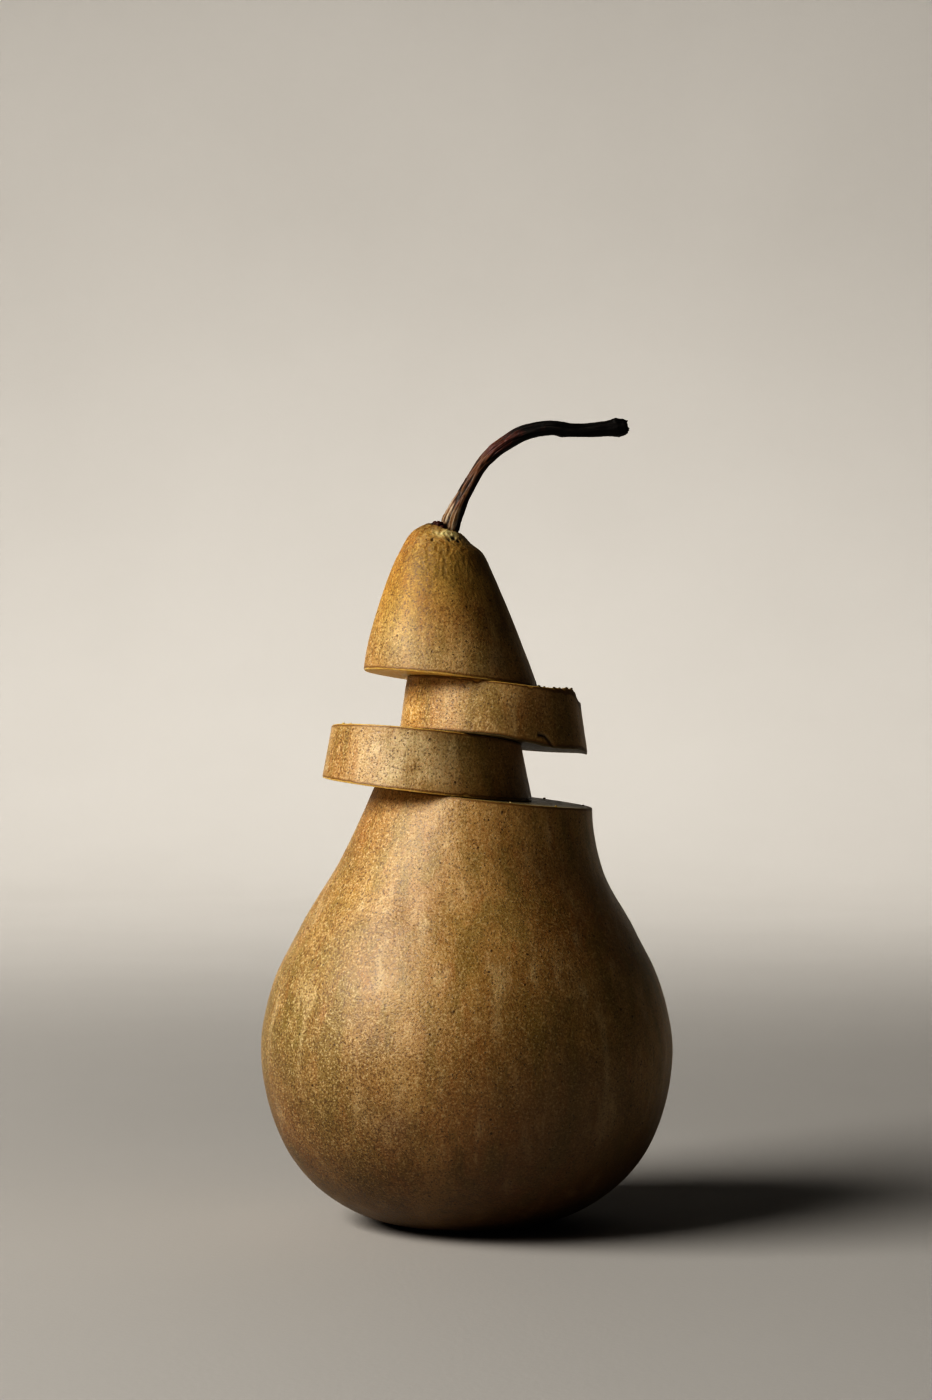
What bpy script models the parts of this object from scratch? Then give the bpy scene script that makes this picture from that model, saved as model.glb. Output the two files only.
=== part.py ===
"""A pear cut across and stacked again off centre: body, two slices, tip, woody stem and dried sepals.

Sizes are in metres, +Z is up, and the origin is the middle of the spot that the pear rests on.
The uncut pear is one turned form. Each piece is the stretch of it between two sloping cuts, moved
sideways and lowered, because a thin slice is missing above the body.
"""

import math
from dataclasses import dataclass

import bmesh
import bpy
from mathutils import Vector

MM = 0.001

# Pieces that rest on each other stay this far apart
FIT_GAP = 0.3 * MM

# Half of the uncut pear's outline as radius and height, from the edge of the foot to the pit's rim
PEAR_OUTLINE = [
    (12.0, 0.0), (17.4, 1.1), (24.3, 4.4), (30.4, 9.6), (35.5, 18.0), (37.7, 26.5), (38.1, 33.0),
    (36.1, 43.0), (30.75, 54.2), (24.45, 65.5), (21.6, 73.5), (20.2, 79.5), (17.3, 94.5),
    (15.65, 106.0), (12.75, 116.0), (9.4, 124.7), (7.2, 129.6), (5.0, 131.9), (2.75, 133.2),
]
# The hollow under the pear, from its middle out to the inner edge of the foot
BASIN_OUTLINE = [(1.6, 4.2), (3.6, 3.8), (5.2, 2.4), (6.3, 0.8), (7.1, 0.0)]
# The pit that the stem stands in, from its rim down to its floor
PIT_OUTLINE = [(2.35, 133.1), (2.15, 132.5), (2.1, 130.2)]

# The section isn't quite round: waves round the pear, and the share of the radius that each adds
SECTION_WAVES = {2: 0.010, 3: 0.006, 5: -0.004}

# The neck of the body bends towards +X above this height
NECK_BEND_START = 61.0 * MM
NECK_BEND_REACH = 17.5 * MM
NECK_BEND = 2.55 * MM

# The axis of the tip drifts towards -X from its cut upwards
TIP_DRIFT = -1.6 * MM
TIP_DRIFT_REACH = 8.0 * MM
# Round the stem the skin slopes down towards +X
TIP_SLOPE = 0.36
TIP_SLOPE_START = 128.0 * MM
TIP_SLOPE_REACH = 7.0 * MM
# The pit stands to +X of the tip's axis, and the skin follows it between these two radii
PIT_OFFSET = 1.6 * MM
PIT_OFFSET_OUTER = 6.2 * MM
PIT_OFFSET_INNER = 2.8 * MM

# The chip out of the upper slice's upper rim, and the lip that hangs from its lower rim, both on the +X side
CHIP_DEPTH = 1.2 * MM
CHIP_WIDTH = math.radians(9)
CHIP_INWARD = 0.35
LIP_DEPTH = 0.6 * MM
LIP_WIDTH = math.radians(17)
# The cut face stays flat inside this share of its radius
FLAT_SHARE = 0.86

# The stem's middle line in millimetres, from the floor of the pit to the broken end
STEM_LINE = [
    (-3.5, -2.4, 126.1), (-3.1, -2.5, 127.6), (-2.35, -2.7, 130.3), (-0.95, -3.0, 133.4), (0.75, -3.4, 136.4),
    (2.6, -3.7, 139.3), (4.75, -4.0, 141.6), (7.2, -4.2, 143.4), (9.95, -4.3, 145.0), (12.7, -4.3, 145.8),
    (15.2, -4.2, 146.1), (18.8, -3.9, 145.8), (22.8, -3.5, 145.8), (26.3, -3.1, 146.2), (29.3, -2.7, 146.7),
]
# Its radius in millimetres, by the share of its length from the pit
STEM_RADII = [
    (0.0, 1.5), (0.1, 1.6), (0.3, 1.2), (0.55, 1.42), (0.8, 1.27), (0.9, 1.35), (0.96, 1.7), (1.0, 1.45),
]
STEM_RIBS = 3
STEM_RIB_SHARE = 0.05

# The sepals lie in the hollow as a star that curls down towards its points
SEPALS = 5
SEPAL_REACH = 4.0 * MM
SEPAL_NOTCH_SHARE = 0.42
SEPAL_THICKNESS = 0.7 * MM
SEPAL_TOP = 4.0 * MM
SEPAL_CURL = 1.0 * MM
SEPAL_HUB_SHARE = 0.25
SEPAL_TOP_SHARE = 0.97

# How finely each form is divided
SIDES = 60
BODY_RINGS = 30
SLICE_RINGS = 5
TIP_RINGS = 15
STEM_RINGS = 44
STEM_SIDES = 12
SEPAL_RINGS = 5
HALVINGS = 40
SHARP_ANGLE = math.radians(35)


@dataclass(frozen=True)
class Cut:
    """A flat cut: its height above the origin, and its rise along +X and +Y."""

    height: float
    rise_x: float
    rise_y: float

    def height_at(self, point):
        """The height of the cut above or below a point."""
        return self.height + self.rise_x * point.x + self.rise_y * point.y

    def raised(self, step):
        """The same cut, higher by a step."""
        return Cut(self.height + step, self.rise_x, self.rise_y)


@dataclass(frozen=True)
class Standing:
    """Where a piece's axis stands, and how far the piece is below its height in the uncut pear."""

    x: float
    y: float
    lowered: float


@dataclass(frozen=True)
class Finish:
    """The colour and roughness of a piece."""

    colour: tuple
    roughness: float


FIRST_CUT = Cut(78.9 * MM, -0.112, 0.010)
SECOND_CUT = Cut(88.9 * MM, -0.100, -0.078)
THIRD_CUT = Cut(99.3 * MM, -0.113, -0.055)

BODY = Standing(0.0, 0.0, 0.0)
LOWER_SLICE = Standing(-7.95 * MM, -1.2 * MM, 4.2 * MM)
UPPER_SLICE = Standing(4.45 * MM, -0.5 * MM, 6.0 * MM)
TIP = Standing(-3.3 * MM, -2.3 * MM, 5.3 * MM)

RUSSET_SKIN = Finish((0.46, 0.30, 0.10), 0.5)
PALE_SKIN = Finish((0.52, 0.35, 0.13), 0.5)
GREEN_SKIN = Finish((0.48, 0.31, 0.08), 0.5)
STEM_WOOD = Finish((0.045, 0.025, 0.015), 0.6)
DRIED_SEPAL = Finish((0.05, 0.03, 0.02), 0.8)


def smooth_step(value):
    """0 below 0, 1 above 1, and a smooth rise between."""
    value = min(max(value, 0.0), 1.0)
    return value * value * (3 - 2 * value)


def bump(angle, width):
    """1 at +X, falling off smoothly to both sides over an angle."""
    from_x = (angle + math.pi) % math.tau - math.pi
    return math.exp(-((from_x / width) ** 2))


def angles(sides):
    """The angles of a ring's points, counted from +X."""
    return [math.tau * k / sides for k in range(sides)]


def curve_point(points, t):
    """The place at t, counted in points, on a smooth curve through all the points."""
    last = len(points) - 1
    i = min(max(int(t), 0), last - 1)
    before, start, end, after = (Vector(points[min(max(i + k, 0), last)]) for k in (-1, 0, 1, 2))
    run = (end - start).length
    run_before = (start - before).length
    run_after = (after - end).length
    way = (end - start) / run
    way_in = way
    way_out = way
    if run_before:
        way_in = ((start - before) / run_before * run + way * run_before) / (run_before + run)
    if run_after:
        way_out = (way * run_after + (after - end) / run_after * run) / (run + run_after)
    u = t - i
    return (
        start * (2 * u**3 - 3 * u**2 + 1)
        + end * (3 * u**2 - 2 * u**3)
        + way_in * run * (u**3 - 2 * u**2 + u)
        + way_out * run * (u**3 - u**2)
    )


def body_axis(height, radius):
    """The body's axis, which bends at the neck."""
    bend = max(height - NECK_BEND_START, 0.0) / NECK_BEND_REACH
    return NECK_BEND * bend**1.5, 0.0


def lower_slice_axis(height, radius):
    """The upright axis of the lower slice."""
    return LOWER_SLICE.x, LOWER_SLICE.y


def upper_slice_axis(height, radius):
    """The upright axis of the upper slice."""
    return UPPER_SLICE.x, UPPER_SLICE.y


def tip_axis(height, radius):
    """The tip's axis, which drifts towards -X, and near the stem follows the pit."""
    drift = 1 - math.exp(-max(height - THIRD_CUT.height, 0.0) / TIP_DRIFT_REACH)
    to_pit = smooth_step((PIT_OFFSET_OUTER - radius) / (PIT_OFFSET_OUTER - PIT_OFFSET_INNER))
    return TIP.x + TIP_DRIFT * drift + PIT_OFFSET * to_pit, TIP.y


def skin_point(radius, height, angle, axis, standing):
    """A point of the uncut pear, put where its piece stands in the stack."""
    slope = TIP_SLOPE * smooth_step((height - TIP_SLOPE_START) / TIP_SLOPE_REACH)
    z = height - standing.lowered - slope * radius * math.cos(angle)
    x, y = axis(z, radius)
    waves = sum(share * math.sin(count * angle) for count, share in SECTION_WAVES.items())
    reach = radius * (1 + waves)
    return Vector((x + reach * math.cos(angle), y + reach * math.sin(angle), z))


def outline_point(t, angle, axis, standing):
    """The skin at t, counted in points of the pear's outline."""
    radius, height = curve_point(PEAR_OUTLINE, t) * MM
    return skin_point(radius, height, angle, axis, standing)


def where_cut(cut, angle, axis, standing):
    """How far up the outline a cut meets the skin at an angle, found by halving."""
    low = 0.0
    high = float(len(PEAR_OUTLINE) - 1)
    for _ in range(HALVINGS):
        middle = (low + high) / 2
        point = outline_point(middle, angle, axis, standing)
        if point.z < cut.height_at(point):
            low = middle
        else:
            high = middle
    return low


def skin_rings(lower, upper, axis, standing, count):
    """Rings up the skin between two cuts. In place of a cut, None is the outline's own end."""
    spans = []
    for angle in angles(SIDES):
        start = where_cut(lower, angle, axis, standing) if lower else 0.0
        end = where_cut(upper, angle, axis, standing) if upper else float(len(PEAR_OUTLINE) - 1)
        spans.append((angle, start, end))
    shares = [k / count for k in range(count + 1)]
    return [
        [outline_point(start + (end - start) * share, angle, axis, standing) for angle, start, end in spans]
        for share in shares
    ]


def turned_rings(outline, axis, standing):
    """One ring for each radius and height of a short outline."""
    return [
        [skin_point(radius * MM, height * MM, angle, axis, standing) for angle in angles(SIDES)]
        for radius, height in outline
    ]


def middle_of(ring):
    """The middle of a ring of points."""
    return sum(ring, Vector()) / len(ring)


def shrunk(ring, share):
    """A ring drawn in towards its middle."""
    middle = middle_of(ring)
    return [middle + (point - middle) * share for point in ring]


def chipped(ring):
    """The upper rim of the upper slice, knocked down and in where it is chipped."""
    blow = Vector((CHIP_INWARD, 0, 1)) * CHIP_DEPTH
    return [point - blow * bump(angle, CHIP_WIDTH) for angle, point in zip(angles(SIDES), ring)]


def lipped(ring):
    """The lower rim of the upper slice, with the lip that the knife left hanging."""
    drop = Vector((0, 0, LIP_DEPTH))
    return [point - drop * bump(angle, LIP_WIDTH) for angle, point in zip(angles(SIDES), ring)]


def painted(name, finish):
    """A material with a piece's colour and roughness."""
    material = bpy.data.materials.new(name + "_finish")
    material.use_nodes = True
    shader = material.node_tree.nodes["Principled BSDF"]
    shader.inputs["Base Color"].default_value = (*finish.colour, 1.0)
    shader.inputs["Roughness"].default_value = finish.roughness
    shader.inputs["Metallic"].default_value = 0.0
    return material


def solid(name, rings, finish):
    """One closed body through rings of points, with a fan of triangles over each end."""
    bm = bmesh.new()
    loops = [[bm.verts.new(point) for point in ring] for ring in rings]
    sides = len(rings[0])
    for lower, upper in zip(loops, loops[1:]):
        for k in range(sides):
            following = (k + 1) % sides
            bm.faces.new((lower[k], lower[following], upper[following], upper[k]))
    for loop, ring in ((loops[0], rings[0]), (loops[-1], rings[-1])):
        middle = bm.verts.new(middle_of(ring))
        for k in range(sides):
            bm.faces.new((middle, loop[k], loop[(k + 1) % sides]))
    bmesh.ops.recalc_face_normals(bm, faces=bm.faces)
    mesh = bpy.data.meshes.new(name)
    bm.to_mesh(mesh)
    bm.free()
    mesh.shade_smooth()
    mesh.set_sharp_from_angle(angle=SHARP_ANGLE)
    mesh.materials.append(painted(name, finish))
    thing = bpy.data.objects.new(name, mesh)
    bpy.context.scene.collection.objects.link(thing)


def make_body():
    """The lower two thirds, from the hollow under it, round the foot and up to the first cut."""
    hollow = turned_rings(BASIN_OUTLINE, body_axis, BODY)
    skin = skin_rings(None, FIRST_CUT.raised(-FIT_GAP / 2), body_axis, BODY, BODY_RINGS)
    solid("pear_body", hollow + skin, RUSSET_SKIN)


def make_lower_slice():
    """The disc between the first cut and the second."""
    lower = FIRST_CUT.raised(FIT_GAP / 2)
    upper = SECOND_CUT.raised(-FIT_GAP / 2)
    solid("lower_slice", skin_rings(lower, upper, lower_slice_axis, LOWER_SLICE, SLICE_RINGS), PALE_SKIN)


def make_upper_slice():
    """The disc between the second cut and the third, with its chip and its lip."""
    lower = SECOND_CUT.raised(FIT_GAP / 2)
    upper = THIRD_CUT.raised(-FIT_GAP / 2)
    bottom, *middle, top = skin_rings(lower, upper, upper_slice_axis, UPPER_SLICE, SLICE_RINGS)
    rings = [shrunk(bottom, FLAT_SHARE), lipped(bottom), *middle, chipped(top), shrunk(top, FLAT_SHARE)]
    solid("upper_slice", rings, PALE_SKIN)


def make_tip():
    """The tip above the third cut, with the pit that the stem stands in."""
    skin = skin_rings(THIRD_CUT.raised(FIT_GAP / 2), None, tip_axis, TIP, TIP_RINGS)
    pit = turned_rings(PIT_OUTLINE, tip_axis, TIP)
    solid("pear_top", skin + pit, GREEN_SKIN)


def stem_radius(share):
    """The stem's radius at a share of its length, eased between the named places."""
    for (start, first), (end, second) in zip(STEM_RADII, STEM_RADII[1:]):
        if share <= end:
            break
    return (first + (second - first) * smooth_step((share - start) / (end - start))) * MM


def make_stem():
    """A ribbed stalk along its middle line, with its knob at the broken end."""
    last = len(STEM_LINE) - 1
    line = [curve_point(STEM_LINE, last * k / STEM_RINGS) * MM for k in range(STEM_RINGS + 1)]
    side = Vector((0, -1, 0))
    rings = []
    for k, point in enumerate(line):
        forward = (line[min(k + 1, STEM_RINGS)] - line[max(k - 1, 0)]).normalized()
        side = (side - forward * side.dot(forward)).normalized()
        across = forward.cross(side)
        radius = stem_radius(k / STEM_RINGS)
        ring = []
        for angle in angles(STEM_SIDES):
            reach = radius * (1 + STEM_RIB_SHARE * math.sin(STEM_RIBS * angle))
            ring.append(point + (side * math.cos(angle) + across * math.sin(angle)) * reach)
        rings.append(ring)
    solid("stem", rings, STEM_WOOD)


def star_ring(share, top):
    """A ring of the star of sepals: round near its middle, notched between the points further out."""
    depth = SEPAL_NOTCH_SHARE * smooth_step((share - SEPAL_HUB_SHARE) / (1 - SEPAL_HUB_SHARE))
    height = top - SEPAL_CURL * share**2
    ring = []
    for angle in angles(SIDES):
        reach = SEPAL_REACH * share * (1 - depth * (0.5 - 0.5 * math.cos(SEPALS * angle)))
        ring.append(Vector((reach * math.cos(angle), reach * math.sin(angle), height)))
    return ring


def make_calyx():
    """The dried sepals: the under side of the star, out to its points and back over its top."""
    shares = [SEPAL_HUB_SHARE + (1 - SEPAL_HUB_SHARE) * k / SEPAL_RINGS for k in range(SEPAL_RINGS + 1)]
    under = [star_ring(share, SEPAL_TOP - SEPAL_THICKNESS) for share in shares]
    over = [star_ring(share * SEPAL_TOP_SHARE, SEPAL_TOP) for share in reversed(shares)]
    solid("calyx", under + over, DRIED_SEPAL)


def clear_scene():
    """Take away whatever the scene holds."""
    for thing in list(bpy.data.objects):
        bpy.data.objects.remove(thing, do_unlink=True)


def main():
    """Build the pear from the floor up."""
    clear_scene()
    make_body()
    make_calyx()
    make_lower_slice()
    make_upper_slice()
    make_tip()
    make_stem()


main()
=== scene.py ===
"""The looks of a pear that was cut across and stacked again off centre.

Lengths are in metres, +Z is up, and every piece stands where its solid in the frame stands. The skin of
the whole pear is one turned form with a low relief. Each piece is the stretch of that form between two
sloping cuts, with flesh on its cut faces. The woody stem stands in the pit of the tip, and the dried
sepals sit in the hollow underneath.
"""

import logging
import math
from collections.abc import Sequence
from dataclasses import dataclass, field
from enum import Enum

import bpy
import numpy as np
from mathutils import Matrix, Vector


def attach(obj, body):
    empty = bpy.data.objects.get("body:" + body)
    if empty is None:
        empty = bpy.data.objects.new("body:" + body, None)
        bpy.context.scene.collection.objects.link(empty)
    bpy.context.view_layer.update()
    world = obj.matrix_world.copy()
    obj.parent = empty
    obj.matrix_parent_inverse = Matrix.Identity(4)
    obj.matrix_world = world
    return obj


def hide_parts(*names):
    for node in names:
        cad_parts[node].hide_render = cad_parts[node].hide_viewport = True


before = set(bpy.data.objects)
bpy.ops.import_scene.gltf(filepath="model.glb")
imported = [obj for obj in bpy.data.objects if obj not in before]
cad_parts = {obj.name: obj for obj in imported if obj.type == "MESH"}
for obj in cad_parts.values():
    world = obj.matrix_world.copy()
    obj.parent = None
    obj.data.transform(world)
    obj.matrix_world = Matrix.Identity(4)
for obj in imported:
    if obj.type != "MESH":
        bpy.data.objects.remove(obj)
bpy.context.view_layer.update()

log = logging.getLogger("pear")

MM = 0.001
BODY_NAME = "root"

# Rows of numbers, such as the places on a curve
Line = Sequence[Sequence[float]]
Colour = tuple[float, float, float]
Place = tuple[float, float, float]
Socket = bpy.types.NodeSocket
Material = bpy.types.Material
Fields = dict[str, np.ndarray]
# The rings of a cut face, each with the rim value of its points
Rings = list[tuple[np.ndarray, float | np.ndarray]]

# Half of the uncut pear's outline in millimetres, radius and height, from the foot to the pit's rim
PEAR_OUTLINE: Line = (
    (12.0, 0.0), (17.4, 1.1), (24.3, 4.4), (30.4, 9.6), (35.5, 18.0), (37.7, 26.5), (38.1, 33.0),
    (36.1, 43.0), (30.75, 54.2), (24.45, 65.5), (21.6, 73.5), (20.2, 79.5), (17.3, 94.5),
    (15.65, 106.0), (12.75, 116.0), (9.5, 124.7), (8.4, 127.4), (7.1, 129.5), (5.0, 131.7), (2.75, 132.85),
)
# From the pit's rim down along the stem to the pit's floor
PIT_OUTLINE: Line = ((2.25, 132.85), (1.95, 132.35), (1.85, 131.6), (1.8, 130.3))
# The hollow under the pear, from its middle out to the inner edge of the foot
HOLLOW_OUTLINE: Line = ((0.8, 4.3), (1.6, 4.2), (3.6, 3.8), (5.2, 2.4), (6.3, 0.8), (7.1, 0.0))
# Waves round the section, and the share of the radius that each adds
SECTION_WAVES = {2: 0.010, 3: 0.006, 5: -0.004}
# The rim value in millimetres where no cut edge is near
FAR = 50.0
# The finish's values on the foot and in the hollow, so that both run on from the skin beside them, with the
# painted shade of the lower skin at its full
FOOT_VALUES = {"rim": FAR, "coarse": 0.3, "low": 1.0}


class Slot(Enum):
    """The record's material slots."""

    SKIN = "skin"
    STEM = "stem_wood"
    SEPAL = "dried_sepal"


class Layer(Enum):
    """What a band of a pear piece is made of, as its place in the piece's list of finishes."""

    SKIN = 0
    FLESH = 1


class Face(Enum):
    """Which way a cut face looks."""

    DOWN = -1
    UP = 1


class Tint(Enum):
    """The kinds of patch that the skin has; some of the tan and cream patches are painted shade and painted
    light.
    """

    OLIVE = "olive"
    RUST = "rust"
    MAUVE = "mauve"
    GOLD = "gold"
    OCHRE = "ochre"
    CREAM = "cream"


class Mixing(Enum):
    """How one colour is laid over another."""

    COVER = "MIX"
    STAIN = "MULTIPLY"


def ease(value: np.ndarray) -> np.ndarray:
    """0 below 0, 1 above 1, and a smooth rise between."""
    value = np.clip(value, 0.0, 1.0)
    return value * value * (3 - 2 * value)


def turned(angle: np.ndarray, middle: float) -> np.ndarray:
    """How far each angle is turned from a middle given in degrees, from -pi to pi."""
    return (angle - math.radians(middle) + math.pi) % math.tau - math.pi


def near(angle: np.ndarray, middle: float, width: float) -> np.ndarray:
    """1 at an angle and falling off smoothly to both sides, all angles in degrees but the first."""
    return np.exp(-((turned(angle, middle) / math.radians(width)) ** 2))


def hill(value: np.ndarray, middle: float, width: float) -> np.ndarray:
    """1 at the middle and falling off smoothly to both sides."""
    return np.exp(-(((value - middle) / width) ** 2))


def ring_angles(sides: int) -> np.ndarray:
    """The angles of a ring's points, counted from +X."""
    return np.arange(sides) * (math.tau / sides)


def round_places(
    radius: np.ndarray | float, height: np.ndarray | float, angle: np.ndarray
) -> np.ndarray:
    """Points round the Z axis, with the three coordinates last."""
    columns = np.broadcast_arrays(radius * np.cos(angle), radius * np.sin(angle), height)
    return np.stack(columns, axis=-1)


def curve_at(points: Line, t: np.ndarray) -> np.ndarray:
    """Places on a smooth curve that runs through all the points.

    Args:
        points: The points that the curve runs through.
        t: Where to read it, counted in points from 0.

    Returns:
        One row for each value of t.
    """
    knots = np.asarray(points, dtype=float)
    steps = np.diff(knots, axis=0)
    runs = np.linalg.norm(steps, axis=1)[:, None]
    ways = steps / runs
    bends = (ways[:-1] * runs[1:] + ways[1:] * runs[:-1]) / (runs[:-1] + runs[1:])
    slopes = np.vstack([ways[:1], bends, ways[-1:]])
    t = np.asarray(t, dtype=float)
    i = np.clip(t.astype(int), 0, len(knots) - 2)
    u = (t - i)[..., None]
    return (
        knots[i] * (2 * u**3 - 3 * u**2 + 1)
        + knots[i + 1] * (3 * u**2 - 2 * u**3)
        + slopes[i] * runs[i] * (u**3 - 2 * u**2 + u)
        + slopes[i + 1] * runs[i] * (u**3 - u**2)
    )


class Grain:
    """Smooth random values in space, the same on each run."""

    CELLS = 256
    SPAN = 1.6

    def __init__(self, seed: int) -> None:
        """Draw the values' slopes.

        Args:
            seed: The number that the draws start from.
        """
        draw = np.random.default_rng(seed)
        self.order = np.tile(draw.permutation(self.CELLS), 2)
        slopes = draw.normal(size=(self.CELLS, 3))
        self.slopes = slopes / np.linalg.norm(slopes, axis=1, keepdims=True)

    def at(self, points: np.ndarray, wavelength: float) -> np.ndarray:
        """Values from about -1 to 1.

        Args:
            points: Where to read them, with the three coordinates last.
            wavelength: The size of a swell, in the points' own unit.

        Returns:
            One value for each point.
        """
        cells = points / wavelength
        base = np.floor(cells).astype(int)
        inside = cells - base
        share = inside**3 * (inside * (inside * 6 - 15) + 10)
        total = np.zeros(points.shape[:-1])
        for corner in np.ndindex(2, 2, 2):
            cell = (base + corner) % self.CELLS
            pick = self.order[cell[..., 0]] + cell[..., 1]
            pick = self.order[pick % self.CELLS] + cell[..., 2]
            pull = (self.slopes[self.order[pick % self.CELLS]] * (inside - corner)).sum(axis=-1)
            weight = np.where(np.array(corner) == 1, share, 1 - share).prod(axis=-1)
            total += pull * weight
        return total * self.SPAN


GRAIN = Grain(7)
FINE_GRAIN = Grain(19)


class Outline:
    """A smooth curve of radius and height, read by t, which counts the points that it runs through."""

    STEPS = 80

    def __init__(self, points: Line) -> None:
        """Work the curve out closely once, to read it quickly afterwards.

        Args:
            points: Radius and height in millimetres, with the solid on the left of the curve's way.
        """
        self.last = float(len(points) - 1)
        self.t = np.linspace(0.0, self.last, int(self.last) * self.STEPS + 1)
        self.places = curve_at(points, self.t) * MM
        way = np.gradient(self.places, axis=0)
        way /= np.linalg.norm(way, axis=1, keepdims=True)
        self.normals = np.stack([way[:, 1], -way[:, 0]], axis=1)

    def at(self, t: np.ndarray) -> tuple[np.ndarray, ...]:
        """The radius, the height, and how far the outside direction points out and up."""
        columns = (*self.places.T, *self.normals.T)
        return tuple(np.interp(t, self.t, column) for column in columns)


@dataclass(frozen=True)
class Cut:
    """A flat cut: its height above the origin, and its rise along +X and +Y."""

    height: float
    rise_x: float
    rise_y: float

    def height_at(self, points: np.ndarray) -> np.ndarray:
        """The height of the cut above or below each point."""
        return self.height + self.rise_x * points[..., 0] + self.rise_y * points[..., 1]


@dataclass(frozen=True)
class Standing:
    """Where a piece's axis stands, and how far the piece is below its height in the uncut pear."""

    x: float
    y: float
    lowered: float


FIRST_CUT = Cut(78.9 * MM, -0.112, 0.010)
SECOND_CUT = Cut(88.9 * MM, -0.100, -0.078)
THIRD_CUT = Cut(99.3 * MM, -0.113, -0.055)


class Shell:
    """A closed surface laid ring by ring from one end to the other."""

    def __init__(self, sides: int) -> None:
        """Start with no rings.

        Args:
            sides: How many points each ring has.
        """
        self.sides = sides
        self.rings: list[np.ndarray] = []
        self.layers: list[int] = []
        self.fields: list[Fields] = []

    def add(self, ring: np.ndarray, layer: Layer = Layer.SKIN, **values: np.ndarray | float) -> None:
        """Lay one more ring.

        Args:
            ring: The ring's points, one row each.
            layer: What the band that leads to this ring is made of.
            values: Named values of the ring's points for the finishes. Those not given are 0.
        """
        self.rings.append(ring)
        self.layers.append(layer.value)
        self.fields.append({key: np.broadcast_to(value, self.sides) for key, value in values.items()})

    def parts(self) -> tuple[np.ndarray, list[list[int]], list[int], Fields]:
        """What the mesh is made from, with both ends closed.

        Returns:
            The points, the faces, the finish of each face and the named values.
        """
        count = len(self.rings)
        turn = np.arange(self.sides)
        after = (turn + 1) % self.sides
        ends = [self.rings[0].mean(axis=0), self.rings[-1].mean(axis=0)]
        points = np.vstack([*self.rings, ends])
        faces: list[list[int]] = []
        finishes: list[int] = []
        for row in range(count - 1):
            low = row * self.sides
            high = low + self.sides
            faces += np.stack([low + turn, low + after, high + after, high + turn], axis=1).tolist()
            finishes += [self.layers[row + 1]] * self.sides
        first = count * self.sides
        top = (count - 1) * self.sides
        faces += np.stack([np.full(self.sides, first), after, turn], axis=1).tolist()
        faces += np.stack([np.full(self.sides, first + 1), top + turn, top + after], axis=1).tolist()
        finishes += [self.layers[0]] * self.sides + [self.layers[-1]] * self.sides
        fields: Fields = {}
        for name in sorted({name for values in self.fields for name in values}):
            rows = [values.get(name, np.zeros(self.sides)) for values in self.fields]
            fields[name] = np.concatenate([*rows, [rows[0].mean(), rows[-1].mean()]])
        return points, faces, finishes, fields


def make_piece(
    name: str, shells: Sequence[Shell], finishes: Sequence[Material], sharp: float = 50.0
) -> bpy.types.Object:
    """One object from closed shells.

    Args:
        name: The object's name.
        shells: The closed surfaces that it is made of.
        finishes: Its materials, in the order that the shells' layers count them.
        sharp: The angle in degrees above which an edge looks sharp.

    Returns:
        The object, linked to the scene.
    """
    points: list[np.ndarray] = []
    faces: list[list[int]] = []
    layers: list[int] = []
    fields: list[Fields] = []
    start = 0
    for shell in shells:
        shell_points, shell_faces, shell_layers, shell_fields = shell.parts()
        points.append(shell_points)
        faces += [[start + k for k in face] for face in shell_faces] if start else shell_faces
        layers += shell_layers
        fields.append(shell_fields)
        start += len(shell_points)
    mesh = bpy.data.meshes.new(name)
    mesh.from_pydata(np.vstack(points).tolist(), [], faces)
    for finish in finishes:
        mesh.materials.append(finish)
    mesh.polygons.foreach_set("material_index", layers)
    for key in sorted({key for values in fields for key in values}):
        blank = [values.get(key, np.zeros(len(place))) for values, place in zip(fields, points)]
        mesh.attributes.new(key, "FLOAT", "POINT").data.foreach_set("value", np.concatenate(blank))
    mesh.shade_smooth()
    mesh.set_sharp_from_angle(angle=math.radians(sharp))
    mesh.update()
    thing = bpy.data.objects.new(name, mesh)
    bpy.context.scene.collection.objects.link(thing)
    return thing


def hand_over(thing: bpy.types.Object, slot: Slot, *nodes: str) -> None:
    """Let a piece ride with the pear and stand for its solids, and report it.

    Args:
        thing: The piece.
        slot: The record's slot that its finish belongs to. Not used.
        nodes: The solids that it stands for.
    """
    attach(thing, BODY_NAME)
    if nodes:
        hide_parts(*nodes)
    log.info("%s: %d faces", thing.name, len(thing.data.polygons))


@dataclass(frozen=True)
class Patch:
    """A patch of another tint on the uncut pear: angle in degrees, height and spread in millimetres."""

    tint: Tint
    angle: float
    height: float
    spread: float
    strength: float


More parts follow.
